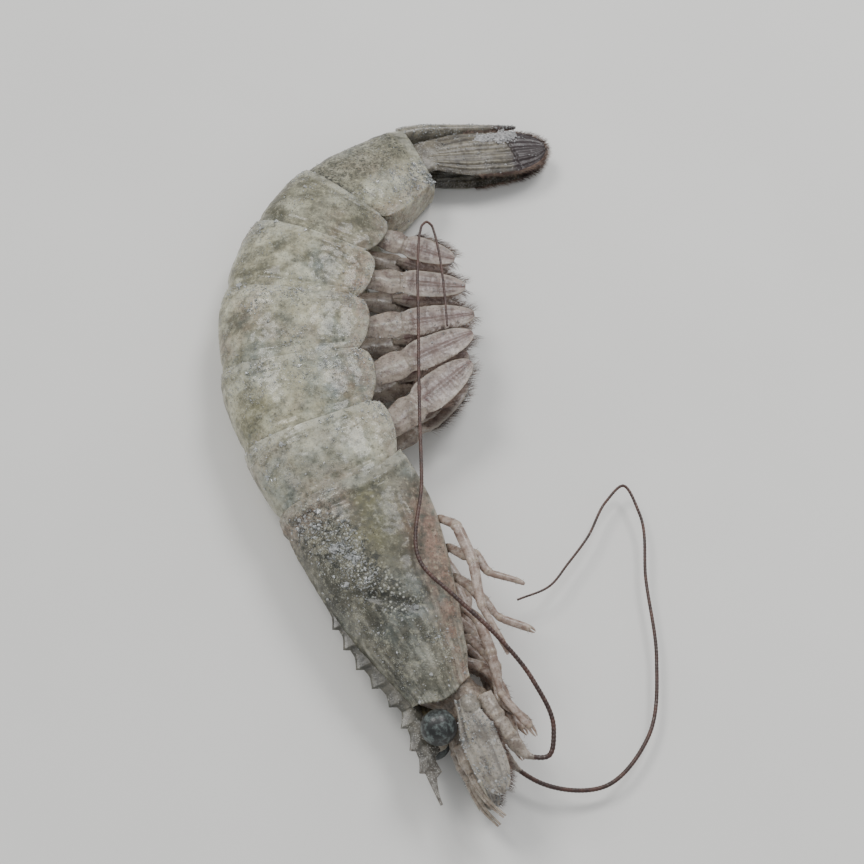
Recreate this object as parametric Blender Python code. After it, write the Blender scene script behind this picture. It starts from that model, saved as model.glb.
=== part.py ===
"""Raw whiteleg shrimp, head on and shell on, curled on its right side.

Every sub-part is described in body coordinates: s runs along the back from
the eye (0) to the tail, v points from the belly to the back, u points to the
shrimp's left side.  The spine is bent in plan, so the body forms a hook; left
is up (+Z) and the right flank is pressed flat where it lies on the ground.
Lengths in the constants are millimetres and angles are degrees; meshes are
written in metres.
"""
import math

import bmesh
import bpy
import numpy as np

# ---------------------------------------------------------------- dimensions
MM = 0.001
GAP = 0.30                    # clearance between neighbouring sub-parts

# spine, seen in plan
JOINTS = (39.5, 52.5, 66.0, 80.0, 93.5, 106.0, 124.5)   # shell joints along s
TURNS = (-1.0, 10.0, 15.0, 14.0, 14.0, 20.0, 31.0)      # bend at each joint
HEADING = 112.0               # direction of the back at the head
BEND_LENGTH = 12.0            # length over which one joint bends
SPINE_POINT = (-11.7, -13.5)  # plan position of the spine at the first joint
SPINE_ENDS = (-40.0, 170.0)
SPINE_STEPS = 2101

# stations along s: height above the spine, depth below it and half width
STATIONS = (0.0, 12.0, 25.0, 39.5, 52.0, 66.0, 80.0, 93.0, 106.0, 115.0, 124.5)
BACK = (6.0, 9.4, 11.4, 12.2, 13.1, 13.9, 13.9, 12.8, 11.2, 9.8, 8.2)
BELLY = (6.6, 9.6, 12.3, 12.8, 13.4, 13.8, 13.4, 12.4, 10.4, 8.8, 7.2)
WIDTH = (6.0, 8.4, 9.7, 9.5, 9.5, 9.3, 9.0, 8.4, 7.2, 6.2, 5.0)
MID = -1.0                    # height of the widest line of the flank
HOLLOW = 4.6                  # depth of the belly hollow between the side flaps
HOLLOW_SHARE = 0.97           # how much of the belly depth the hollow follows
PRESS = 0.8                   # how much of the flank the ground flattens
LEVEL_FROM = 25.0             # the head in front of this rests at the same height
TAIL_DROOP = 0.055            # fall of the spine for each mm behind the last joint
SOFT_GROUND = 0.5             # rounding where a surface meets the ground
LIMB_GROUND = 0.12            # the same for thin limbs

# shell cross-section and the ends of the shell pieces
UP_FACETS = 7
DOWN_FACETS = 5
INNER_FACETS = 12
SHOULDER = 0.92               # below 1 makes the back fuller than an ellipse
TUCK = 0.27                   # how far the flap edge leans inward
TUCK_POWER = 2.1
HOLLOW_POWER = 0.55
LOBE_POWER = 0.55
PLEURA_LOBE = 2.3             # how far the side flaps are rounded off
CARAPACE_LOBE = 0.9
JOINT_BOW = 0.9               # joint line bowed forward on the flank
JOINT_SWEEP = 1.9             # and swept back at the flap
JOINT_SWEEP_POWER = 2.2
LAST_SWEEP = 0.35             # the joint before the tail is straighter
SEGMENT_SCALES = ((0.0, 0.945), (0.10, 0.958), (0.28, 0.982), (0.50, 0.996),
                  (0.72, 1.004), (0.90, 1.010), (1.0, 0.990))
LAST_BULGE = 0.7              # the sixth segment is closed below, a little rounder than its edges

# carapace and its toothed blade
CARAPACE_STOPS = (0.0, 0.05, 0.12, 0.22, 0.34, 0.46, 0.58, 0.70, 0.81, 0.91, 0.965, 1.0)
CARAPACE_FRONT = 0.90         # scale of the front rim
CARAPACE_REAR_TUCK = 0.010
BROW = (2.2, 0.8, 4.2)        # front rim: how far it reaches forward, height, half height
ROSTRUM_TIP = -17.0
RIDGE_END = 24.0
RIDGE = (1.15, 8.0, 16.0)     # height over the back, start of its fade, fade length
CREST = (7.15, -0.12, -0.0042)
TOOTH_FIRST = 18.0
TOOTH_PITCH = 4.1
TEETH = 8
TOOTH_HEIGHT = 1.25
TOOTH_FADE = 0.07
TOOTH_SLOPE = 2.2
TOOTH_BACK = 0.5
EDGE_HALF = 0.22              # half thickness at the teeth, the flank and the root
FLANK_HALF = 0.55
ROOT_HALF = 1.0
UNDER_TEETH = ((4.6, 1.15), (5.3, 2.3), (7.2, 1.9), (8.8, 3.1), (10.6, 2.7))

# tail
TAIL_CLEAR = 0.44             # start of the telson behind the last joint
TELSON_TIP = 148.0
TELSON_HEIGHT = 6.6
TELSON_FALL = 0.03
TELSON_HALF = 2.5
TELSON_THICK = 1.75
TELSON_TIP_HALF = (0.28, 0.22)
TELSON_POWER = (0.75, 0.7)
TELSON_RIDGE = (0.30, 3.2)
UROPOD_LENGTH = 27.0
UROPOD_THICK = 0.95
UROPOD_START = 0.4
# side offset, height, breadth, shortening, bow along the length, hollow across
OUTER_UROPOD = (4.0, -1.7, 9.4, 0.0, 1.1, 0.0135)
INNER_UROPOD = (2.65, 0.9, 8.0, 1.4, -0.4, 0.0108)
UNDER_RAISE = (0.8, 0.5)      # the blades of the lower side lie a little higher
UROPOD_LEAN = 0.075

# head
EYE_RADIUS = 3.1
EYE_CENTRE = (-6.0, 3.6, 4.9)
EYE_AXIS = (-0.45, 0.05, 0.89)
EYE_PROFILE = ((-4.0, 1.0), (-3.2, 1.25), (-2.6, 1.75), (-2.1, 2.35), (-1.0, 2.8),
               (0.3, 2.9), (1.5, 2.45), (2.4, 1.5), (2.8, 0.6))
EYE_PROFILE_MAX = 2.9
MOUTH_START = -2.8
MOUTH_CENTRE = -3.3
MOUTH_HALF = (4.2, 4.3)
MOUTH_RINGS = ((0.0, 1.0), (1.3, 1.0), (2.7, 0.86), (3.9, 0.55))
SCALE_LENGTH = 17.0
SCALE_BREADTH = 6.6
SCALE_ROOT = (-3.4, -1.9, 6.3)
ANTENNULE = ((-7.2, 0.4, 1.5), (-10.5, 1.1, 1.9), (-14.0, 1.5, 2.0),
             (-17.0, 1.6, 2.3), (-20.5, 1.0, 2.9), (-23.5, -0.2, 3.3))
ANTENNULE_RADII = (1.25, 1.3, 1.2, 1.15, 0.95, 0.62, 0.5, 0.45, 0.42, 0.38, 0.34, 0.26)

# feelers: base in body coordinates, then plan positions (x, y, z)
FEELER_BASE = 1.5
WHIP_RADIUS = 0.46
WHIP_TIP = 0.22
LEFT_BASE = ((-4.2, -5.6, 5.3), (-8.0, -5.8, 5.4), (-12.5, -6.5, 5.3), (-16.5, -7.8, 5.6),
             (-18.0, -10.6, 6.2), (-14.6, -13.2, 7.2), (-6.0, -13.4, 8.9), (3.5, -10.8, 10.3),
             (12.0, -7.4, 10.75), (19.3, -4.8, 10.75))
LEFT_WHIP = ((1.3, -14.4, 18.9), (2.0, 1.6, 17.3), (3.0, 19.6, 16.1), (3.9, 34.0, 15.6),
             (4.9, 39.4, 15.5), (6.6, 40.2, 15.3), (7.7, 36.6, 15.1), (8.3, 28.0, 14.7),
             (8.5, 18.6, 14.3))
RIGHT_BASE = ((-4.2, -5.6, -5.3), (-8.0, -5.8, -5.4), (-12.5, -6.5, -5.3))
RIGHT_WHIP = ((20.0, -64.5, 3.8), (31.0, -65.5, 3.4), (39.8, -57.0, 3.0), (43.0, -43.0, 3.0),
              (42.8, -28.0, 3.2), (43.0, -15.0, 3.5), (40.6, -9.6, 3.6), (37.0, -12.8, 3.8),
              (32.8, -19.8, 4.0), (28.5, -25.1, 4.2), (24.9, -29.2, 4.5), (18.6, -32.0, 5.2))
LEFT_KNOTS = 46
RIGHT_KNOTS = 40

# legs and swimmerets
MAXILLIPED = ((3.6, -6.0, 1.4), (0.6, -9.0, 1.15), (-3.0, -10.0, 1.1),
              (-8.0, -9.2, 1.1), (-12.0, -8.4, 1.2), (-15.5, -8.8, 1.4))
MAXILLIPED_RADII = (0.8, 0.92, 0.95, 0.95, 0.9, 0.95, 0.9, 0.85, 0.8, 0.7, 0.55, 0.28)
LEG_LENGTHS = (28.0, 35.0, 41.0, 34.0, 37.0)
LEG_FIRST = 8.0
LEG_PITCH = 5.2
LEG_ROOT_SIDE = (2.2, 0.25)
LANES = (2.6, 1.56, 1.51)     # side offset of the first leg, its step left and right
COXA_LENGTH = 9.0
LEG_RADII = (0.75, 0.80, 0.85, 0.90, 1.00, 1.00, 0.95, 0.80, 0.66, 0.56, 0.46, 0.24)
LEG_FLAT = 0.66               # legs are flattened from side to side
PINCER_RADII = (0.58, 0.72, 0.72, 0.48, 0.22)
PINCERS = 3
SWIMMERET_LENGTHS = (23.5, 24.0, 23.5, 21.0, 17.5)
SWIMMERET_ANGLES = (40.0, 25.0, 8.0, -5.0, -19.0)
SWIMMERET_ROOT = 1.7
# breadth, its step from pair to pair, thickness and side offset of the two blades
OUTER_BLADE = (6.8, 0.35, 1.5, 4.1)
INNER_BLADE = (4.8, 0.25, 1.2, 3.4)
INNER_SHARE = 0.52
FORK_SHARE = 0.36
WAIST = 0.24                  # narrowing where the stem ends and the blades begin
WAIST_AT = 0.42
WAIST_HALF = 0.06

PARTS = []


# --------------------------------------------------------------- body frame
def ease(t):
    t = np.clip(t, 0.0, 1.0)
    return t * t * (3.0 - 2.0 * t)


def curve(xs, ys, x):
    """Smooth cubic through the stations (Hermite, finite-difference slopes)."""
    xs, ys = np.asarray(xs, float), np.asarray(ys, float)
    slope = np.gradient(ys, xs)
    x = np.clip(x, xs[0], xs[-1])
    i = np.clip(np.searchsorted(xs, x) - 1, 0, len(xs) - 2)
    h = xs[i + 1] - xs[i]
    t = (x - xs[i]) / h
    return (ys[i] * (1 + 2 * t) * (1 - t) ** 2 + h * slope[i] * t * (1 - t) ** 2
            + ys[i + 1] * t * t * (3 - 2 * t) + h * slope[i + 1] * t * t * (t - 1))


def heading(s):
    angle = HEADING * np.ones_like(np.asarray(s, float))
    for place, turn in zip(JOINTS, TURNS):
        angle = angle - turn * ease((s - place) / BEND_LENGTH + 0.5)
    return np.radians(angle)


def run_of(component):
    """Running sum of a direction component along the spine."""
    step = SPINE_S[1] - SPINE_S[0]
    return np.concatenate([[0], np.cumsum(step * 0.5 * (component[1:] + component[:-1]))])


SPINE_S = np.linspace(*SPINE_ENDS, SPINE_STEPS)
SPINE_A = heading(SPINE_S)
SPINE_X = run_of(np.cos(SPINE_A))
SPINE_Y = run_of(np.sin(SPINE_A))
SPINE_X += SPINE_POINT[0] - np.interp(JOINTS[0], SPINE_S, SPINE_X)
SPINE_Y += SPINE_POINT[1] - np.interp(JOINTS[0], SPINE_S, SPINE_Y)


def back(s):
    return curve(STATIONS, BACK, s)


def belly(s):
    return curve(STATIONS, BELLY, s)


def half_width(s):
    return curve(STATIONS, WIDTH, s)


def roof(s):
    """Underside of the body between the side flaps."""
    return HOLLOW - HOLLOW_SHARE * belly(s)


def axis_height(s):
    """Height of the spine: the widest part of each station rests on the ground."""
    s = np.asarray(s, float)
    level = half_width(np.maximum(s, LEVEL_FROM)) - PRESS
    return np.where(s > JOINTS[6], level - TAIL_DROOP * (s - JOINTS[6]), level)


def settle(z, soft=SOFT_GROUND):
    """Soft ground: what would sink below it is pressed flat on it."""
    return np.where(z >= soft, z, np.where(z <= -soft, 0.0, (z + soft) ** 2 / (4.0 * soft)))


def body(s, v, u):
    """Body coordinates to the plan frame, following the bend of the spine."""
    s = np.asarray(s, float)
    a = np.interp(s, SPINE_S, SPINE_A)
    x = np.interp(s, SPINE_S, SPINE_X) - np.sin(a) * v
    y = np.interp(s, SPINE_S, SPINE_Y) + np.cos(a) * v
    z = settle(axis_height(s) + u)
    return np.stack(np.broadcast_arrays(x, y, z), axis=-1)


def rigid(s0, ds, dv, u):
    """Like body(), but straight: offsets from station s0 without bending."""
    a = float(np.interp(s0, SPINE_S, SPINE_A))
    x = float(np.interp(s0, SPINE_S, SPINE_X)) + math.cos(a) * ds - math.sin(a) * dv
    y = float(np.interp(s0, SPINE_S, SPINE_Y)) + math.sin(a) * ds + math.cos(a) * dv
    z = settle(np.asarray(float(axis_height(s0)) + u))
    return np.stack(np.broadcast_arrays(x, y, z), axis=-1)


# ------------------------------------------------------------------ meshing
def solid(name, verts, faces, material):
    mesh = bpy.data.meshes.new(name)
    mesh.from_pydata([tuple(float(c) * MM for c in p) for p in verts], [], faces)
    bm = bmesh.new()
    bm.from_mesh(mesh)
    bmesh.ops.triangulate(bm, faces=[f for f in bm.faces if len(f.verts) > 4])
    bmesh.ops.recalc_face_normals(bm, faces=bm.faces)
    bm.to_mesh(mesh)
    bm.free()
    ob = bpy.data.objects.new(name, mesh)
    bpy.context.scene.collection.objects.link(ob)
    mesh.materials.append(material)
    PARTS.append(ob)
    return ob


def circle(count):
    return [2 * math.pi * i / count for i in range(count)]


def skin(rings, caps=True):
    """Faces joining equal closed rings, with a fan over each end."""
    n = len(rings[0])
    verts = [p for r in rings for p in r]
    faces = []
    for k in range(len(rings) - 1):
        for i in range(n):
            j = (i + 1) % n
            faces.append((k * n + i, k * n + j, (k + 1) * n + j, (k + 1) * n + i))
    if caps:
        for k in (0, len(rings) - 1):
            centre = len(verts)
            verts.append(np.mean(rings[k], axis=0))
            for i in range(n):
                faces.append((k * n + i, k * n + (i + 1) % n, centre))
    return verts, faces


def tube(path, radii, n=6, flat=1.0):
    """Round tube along a path; flat scales its height."""
    path = np.asarray(path, float)
    along = np.gradient(path, axis=0)
    along /= np.linalg.norm(along, axis=1)[:, None]
    rings = []
    for p, t, r in zip(path, along, radii):
        b = np.cross(t, (0.0, 0.0, 1.0))
        b /= np.linalg.norm(b)
        c = np.cross(b, t)
        loop = [p + r * (math.cos(w) * b + flat * math.sin(w) * c) for w in circle(n)]
        rings.append([np.array([q[0], q[1], float(settle(q[2], LIMB_GROUND))]) for q in loop])
    return skin(rings)


def smooth_path(points, count):
    """Evenly spaced points on a smooth curve through the given ones."""
    pts = np.asarray(points, float)
    far = np.concatenate([[0], np.cumsum(np.linalg.norm(np.diff(pts, axis=0), axis=1))])
    fine = np.linspace(0, far[-1], 12 * count)
    q = np.stack([curve(far, pts[:, k], fine) for k in range(3)], axis=1)
    run = np.concatenate([[0], np.cumsum(np.linalg.norm(np.diff(q, axis=0), axis=1))])
    at = np.linspace(0, run[-1], count)
    return np.stack([np.interp(at, run, q[:, k]) for k in range(3)], axis=1)


def bent_path(points, cut=0.9):
    """Straight links with each corner cut off, like the joints of a leg."""
    pts = np.asarray(points, float)
    path = [pts[0]]
    for a, b, c in zip(pts[:-2], pts[1:-1], pts[2:]):
        before = min(cut / np.linalg.norm(a - b), 0.4)
        after = min(cut / np.linalg.norm(c - b), 0.4)
        path += [b + (a - b) * before, b + (c - b) * after]
    return np.array(path + [pts[-1]])


def union(target, other):
    """Fuse another closed body into the target and drop the helper."""
    mod = target.modifiers.new("fuse", "BOOLEAN")
    mod.operation = "UNION"
    mod.object = other
    mod.solver = "EXACT"
    graph = bpy.context.evaluated_depsgraph_get()
    mesh = bpy.data.meshes.new_from_object(target.evaluated_get(graph))
    target.modifiers.clear()
    target.data = mesh
    PARTS.remove(other)
    bpy.data.objects.remove(other, do_unlink=True)


def paint(name, colour, rough):
    mat = bpy.data.materials.new(name)
    mat.use_nodes = True
    shader = mat.node_tree.nodes["Principled BSDF"]
    shader.inputs["Base Color"].default_value = (*colour, 1.0)
    shader.inputs["Roughness"].default_value = rough
    return mat


# --------------------------------------------------------- shell cross-section
def flank():
    """Half outline, from the ridge of the back to the lower edge of the flap."""
    pts = []
    for i in range(UP_FACETS + 1):
        a = 0.5 * math.pi * i / UP_FACETS
        pts.append((math.sin(a) ** SHOULDER, math.cos(a)))
    for i in range(1, DOWN_FACETS + 1):
        t = i / DOWN_FACETS
        pts.append((1.0 - TUCK * t ** TUCK_POWER, -t))
    return pts


FLANK = flank()


def ring(front, rear, f, scale, lobe, deeper=0.0, bulge=None):
    """One closed ring of a shell piece at fraction f between its two joints.

    front and rear give the joint position for a height v above the spine.
    """
    outer = [(-x, y) for x, y in reversed(FLANK[1:])] + list(FLANK)
    s_mid = front(MID) * (1 - f) + rear(MID) * f
    rise = (float(back(s_mid)) - MID) * scale
    drop = (float(belly(s_mid)) + MID) * scale
    drop -= lobe * (1.0 - math.sin(math.pi * f) ** LOBE_POWER)
    wide = float(half_width(s_mid)) * scale
    flat = [(x * wide, MID + (rise if y > 0 else drop) * y) for x, y in outer]
    edge_u, edge_v = flat[-1]
    inside = float(roof(s_mid)) + deeper if bulge is None else edge_v - bulge
    for i in range(1, INNER_FACETS):
        a = math.pi * i / INNER_FACETS
        flat.append((edge_u * math.cos(a), edge_v + (inside - edge_v) * math.sin(a) ** HOLLOW_POWER))
    return [body(front(v) * (1 - f) + rear(v) * f, v, u) for u, v in flat]


def shell(rings):
    """Close a run of shell rings; each end is a band from outer to inner line."""
    n = len(rings[0])
    verts, faces = skin(rings, caps=False)
    top = 2 * (UP_FACETS + DOWN_FACETS)
    step = top // INNER_FACETS
    half = step // 2
    for base in (0, (len(rings) - 1) * n):
        inner = [base] + [base + top + i for i in range(INNER_FACETS - 1, 0, -1)] + [base + top]
        for i in range(INNER_FACETS):
            outer = [base + step * i + k for k in range(step + 1)]
            a, b = inner[i], inner[i + 1]
            for k in range(step):
                tri = (outer[k], outer[k + 1], a if k < half else b)
                if len(set(tri)) == 3:
                    faces.append(tri)
            if len({outer[half], a, b}) == 3:
                faces.append((outer[half], b, a))
    return verts, faces


def joint(s, sweep=1.0):
    """Joint line between two shell pieces: bowed forward, swept back at the flap."""
    top, low = float(back(s)) - MID, float(belly(s)) + MID

    def line(v):
        y = (v - MID) / (top if v > MID else low)
        bow = JOINT_BOW * (1.0 - min(y * y, 1.0))
        return s + sweep * (JOINT_SWEEP * max(0.0, -y) ** JOINT_SWEEP_POWER - bow)
    return line


def shifted(line, d):
    return lambda v: line(v) + d


# -------------------------------------------------------------------- pieces
def build_carapace(mat):
    reach, height, spread = BROW

    def front(v):
        brow = reach * math.exp(-((v - height) / spread) ** 2)
        return 0.0022 * max(0.0, -v) ** 3 + 0.08 * max(0.0, v) - brow
    rear = shifted(joint(JOINTS[0]), -GAP / 2)
    rings = []
    for f in CARAPACE_STOPS:
        scale = CARAPACE_FRONT + (1.0 - CARAPACE_FRONT) * float(ease(f / 0.10))
        scale -= CARAPACE_REAR_TUCK * float(ease((f - 0.9) / 0.1))
        rings.append(ring(front, rear, f, scale, CARAPACE_LOBE, 0.6 * math.sin(math.pi * f)))
    ob = solid("carapace", *shell(rings), mat)
    union(ob, build_rostrum(mat))


def crest(s):
    """Line of the rostrum and the ridge it leaves along the back."""
    if s > 0.0:
        rise, start, length = RIDGE
        return float(back(s)) + rise * (1.0 - float(ease((s - start) / length)))
    return CREST[0] + CREST[1] * s + CREST[2] * s * s


def build_rostrum(mat):
    upper = []
    for i in range(TEETH):
        t = TOOTH_FIRST - TOOTH_PITCH * i
        height = TOOTH_HEIGHT - TOOTH_FADE * abs(i - 3)
        upper.append((t + TOOTH_SLOPE, crest(t + TOOTH_SLOPE) - 0.1))
        upper.append((t, crest(t) + height))
        upper.append((t - TOOTH_BACK, crest(t - TOOTH_BACK) + 0.05))
    tip_v = crest(ROSTRUM_TIP) - 0.35
    lower = [(ROSTRUM_TIP + ds, tip_v - dv) for ds, dv in UNDER_TEETH]
    lower += [(-3.0, tip_v - 3.6), (3.0, 3.4)]
    rear = [(RIDGE_END, float(back(RIDGE_END)) - 0.6)]
    outline = rear + upper + [(ROSTRUM_TIP, tip_v)] + lower + [(22.0, 6.0)]
    verts = []
    for side in (1, -1):
        for s, v in outline:
            thin = EDGE_HALF if (s, v) in upper or s == ROSTRUM_TIP else FLANK_HALF
            if s > 2.0 and v < 7.0:
                thin = ROOT_HALF
            verts.append(body(s, v, side * thin))
    n = len(outline)
    faces = [(i, (i + 1) % n, n + (i + 1) % n, n + i) for i in range(n)]
    faces.append(tuple(range(n)))
    faces.append(tuple(range(2 * n - 1, n - 1, -1)))
    return solid("rostrum_blade", verts, faces, mat)


def build_abdomen(i, mat):
    last = i == 5
    front = shifted(joint(JOINTS[i]), GAP / 2)
    rear = shifted(joint(JOINTS[i + 1], LAST_SWEEP if last else 1.0), -GAP / 2)
    rings = []
    for f, scale in SEGMENT_SCALES:
        lobe = PLEURA_LOBE * (1.0 - f if last else 1.0)
        rings.append(ring(front, rear, f, scale, lobe, bulge=LAST_BULGE if last else None))
    solid("abdomen_%d" % (i + 1), *shell(rings), mat)


def blade(length, width, thick, place, along, base, tip, n=8, waist=0.0):
    """Leaf of lens section: place(d, c, t) puts length, breadth and depth."""
    rings = []
    for k in range(along):
        d = 0.004 + 0.992 * k / (along - 1)
        rounding = math.sqrt(max(0.0, 1 - max(0.0, (d - tip) / (1.002 - tip)) ** 2.2))
        half = 0.5 * width * (base + (1 - base) * float(ease(d / 0.42))) * rounding
        half = max(half * (1.0 - waist * math.exp(-((d - WAIST_AT) / WAIST_HALF) ** 2)), 0.16)
        depth = 0.5 * thick * (1.0 - 0.55 * d)
        rings.append([place(d * length, half * math.cos(w), depth * math.sin(w)) for w in circle(n)])
    return skin(rings)


def build_telson(mat):
    start = JOINTS[6] + TAIL_CLEAR
    rise, reach = TELSON_RIDGE
    rings = []
    for k in range(10):
        d = k / 9.0
        half = TELSON_HALF * (1 - d) ** TELSON_POWER[0] + TELSON_TIP_HALF[0]
        depth = TELSON_THICK * (1 - d) ** TELSON_POWER[1] + TELSON_TIP_HALF[1]
        along = d * (TELSON_TIP - start)
        loop = []
        for w in circle(10):
            c = half * math.cos(w)
            v = TELSON_HEIGHT - TELSON_FALL * along + rise * (1 - (c / reach) ** 2) + depth * math.sin(w)
            loop.append(body(start + along, v, c))
        rings.append(loop)
    solid("telson", *skin(rings), mat)


def build_uropods(mat):
    start = JOINTS[6] + TAIL_CLEAR + UROPOD_START
    for side, word in ((1, "left"), (-1, "right")):
        for i, (kind, sizes) in enumerate((("outer", OUTER_UROPOD), ("inner", INNER_UROPOD))):
            u0, v0, width, shorter, bow, cup = sizes
            v0 += UNDER_RAISE[i] if side < 0 else 0.0

            def place(d, c, t, side=side, u0=u0, v0=v0, bow=bow, cup=cup):
                v = v0 + c + bow * (d / 27.0) ** 2
                u = side * (u0 - cup * c * c + t - UROPOD_LEAN * d)
                return body(start + d, v, u)
            leaf = blade(UROPOD_LENGTH - shorter, width, UROPOD_THICK, place,
                         along=9, base=0.55, tip=0.66)
            solid("uropod_%s_%s" % (word, kind), *leaf, mat)


def build_head(mats):
    rings = []
    for d, k in MOUTH_RINGS:
        rings.append([body(MOUTH_START - d, MOUTH_CENTRE + MOUTH_HALF[0] * k * math.sin(w),
                           MOUTH_HALF[1] * k * math.cos(w)) for w in circle(12)])
    solid("head_base", *skin(rings), mats["head"])
    for side, word in ((1, "left"), (-1, "right")):
        build_eye(side, word, mats["eye"])

        def scale_at(d, c, t, side=side):
            s, v, u = SCALE_ROOT
            return body(s - d, v + c * 0.92 + 0.045 * d, side * (u + t - 0.16 * c - 0.05 * d))
        leaf = blade(SCALE_LENGTH, SCALE_BREADTH, 1.0, scale_at, along=9, base=0.5, tip=0.6)
        solid("antennal_scale_" + word, *leaf, mats["limb"])
        path = smooth_path([body(s, v, side * u) for s, v, u in ANTENNULE], 12)
        solid("antennule_" + word, *tube(path, ANTENNULE_RADII, n=7), mats["limb"])


def build_eye(side, word, mat):
    """Ball on a short stalk that points forward and outward."""
    centre = np.array([EYE_CENTRE[0], EYE_CENTRE[1], side * EYE_CENTRE[2]])
    axis = np.array([EYE_AXIS[0], EYE_AXIS[1], side * EYE_AXIS[2]])
    axis /= np.linalg.norm(axis)
    e1 = np.cross(axis, (0.0, 1.0, 0.0))
    e1 /= np.linalg.norm(e1)
    e2 = np.cross(axis, e1)
    rings = []
    for d, r in EYE_PROFILE:
        r *= EYE_RADIUS / EYE_PROFILE_MAX
        loop = [centre + axis * d + r * (math.cos(w) * e1 + math.sin(w) * e2) for w in circle(10)]
        rings.append([body(q[0], q[1], q[2]) for q in loop])
    solid("eye_" + word, *skin(rings), mat)


def build_feelers(mat):
    """Stout three-jointed base, then a whip: the left one lies back over the body."""
    jobs = (("left", LEFT_BASE, LEFT_WHIP, LEFT_KNOTS), ("right", RIGHT_BASE, RIGHT_WHIP, RIGHT_KNOTS))
    for word, base, whip, knots in jobs:
        points = [body(*q) for q in base] + [np.array(q) for q in whip]
        taper = list(np.linspace(WHIP_RADIUS, WHIP_TIP, knots - 3))
        radii = [FEELER_BASE, FEELER_BASE, FEELER_BASE - 0.1] + taper
        solid("antenna_" + word, *tube(smooth_path(points, knots), radii, n=6), mat)


def leg_posture(k, side):
    """Depth below the flap edge at four fractions of the run of one leg."""
    if side > 0 and k == 2:
        return ((0.24, 3.6), (0.36, 5.6), (0.48, 10.6), (0.51, 11.4))
    if side > 0 and k == 3:
        return ((0.20, 3.8), (0.36, 5.2), (0.50, 10.2), (0.54, 11.2))
    tilt = math.sin(2.3 * k + 0.9 * side)
    lean = math.cos(1.7 * k - 0.6 * side)
    return ((0.42, 3.3 + 0.8 * tilt), (0.70, 2.0 - 0.6 * tilt),
            (0.97, 3.5 + 1.3 * lean), (1.04, 3.7 + 1.3 * lean))


def build_legs(mat):
    for side, word in ((1, "left"), (-1, "right")):
        path = smooth_path([body(s, v, side * u) for s, v, u in MAXILLIPED], 12)
        solid("maxilliped_" + word, *tube(path, MAXILLIPED_RADII, n=6, flat=0.8), mat)
        for k in range(5):
            s0 = LEG_FIRST + LEG_PITCH * k
            root = LEG_ROOT_SIDE[0] + LEG_ROOT_SIDE[1] * k
            lane = LANES[0] + (LANES[1] if side > 0 else LANES[2]) * k
            run = LEG_LENGTHS[k] - COXA_LENGTH
            stops = [(s0 - 1.4, 0.2, root + 0.42 * (lane - root)), (s0 - 4.6, 2.5 - 0.2 * k, lane)]
            stops += [(s0 - part * run, depth, lane) for part, depth in leg_posture(k, side)]
            pts = [body(s0, float(roof(s0)) - 0.55 - 0.13 * k, side * root)]
            pts += [body(s, -float(belly(max(s, 0.0))) - depth, side * u) for s, depth, u in stops]
            radii = list(LEG_RADII)
            if k < PINCERS:
                radii[-len(PINCER_RADII):] = PINCER_RADII
            solid("leg_%s_%d" % (word, k + 1), *tube(bent_path(pts), radii, n=6, flat=LEG_FLAT), mat)


def build_swimmerets(mat):
    for side, word in ((1, "left"), (-1, "right")):
        for k in range(5):
            s0 = 0.5 * (JOINTS[k] + JOINTS[k + 1]) + 0.6
            a = math.degrees(float(np.interp(s0, SPINE_S, SPINE_A)))
            swing = math.radians(SWIMMERET_ANGLES[k] - (a - 90.0))
            length = SWIMMERET_LENGTHS[k]
            top = float(roof(s0)) - SWIMMERET_ROOT

            def limb(d, c, t, u0, s0=s0, swing=swing, top=top, side=side):
                ds = math.sin(swing) * d - math.cos(swing) * c
                dv = -math.cos(swing) * d - math.sin(swing) * c
                return rigid(s0, ds, top + dv, side * (u0 + t))
            wide, step, thick, u_out = OUTER_BLADE
            outer = blade(length, wide - step * k, thick, lambda d, c, t: limb(d, c, t, u_out),
                          along=8, base=0.6, tip=0.55, waist=WAIST)
            wide, step, thick, u_in = INNER_BLADE
            inner = blade(length * INNER_SHARE, wide - step * k, thick,
                          lambda d, c, t: limb(d + length * FORK_SHARE, c - 0.6, t, u_in - 0.09 * d),
                          along=6, base=0.5, tip=0.5, n=6)
            ob = solid("pleopod_%s_%d" % (word, k + 1), *outer, mat)
            union(ob, solid("fork", *inner, mat))


def place_on_ground():
    """Origin at the middle of the plan; every face a triangle facing outward."""
    corners = np.array([v.co[:] for ob in PARTS for v in ob.data.vertices])
    lo, hi = corners.min(axis=0), corners.max(axis=0)
    shift = np.array([0.5 * (lo[0] + hi[0]), 0.5 * (lo[1] + hi[1]), lo[2]])
    for ob in PARTS:
        for v in ob.data.vertices:
            v.co = [float(a - b) for a, b in zip(v.co, shift)]
        bm = bmesh.new()
        bm.from_mesh(ob.data)
        bmesh.ops.triangulate(bm, faces=bm.faces)
        bmesh.ops.recalc_face_normals(bm, faces=bm.faces)
        bm.to_mesh(ob.data)
        bm.free()


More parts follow.
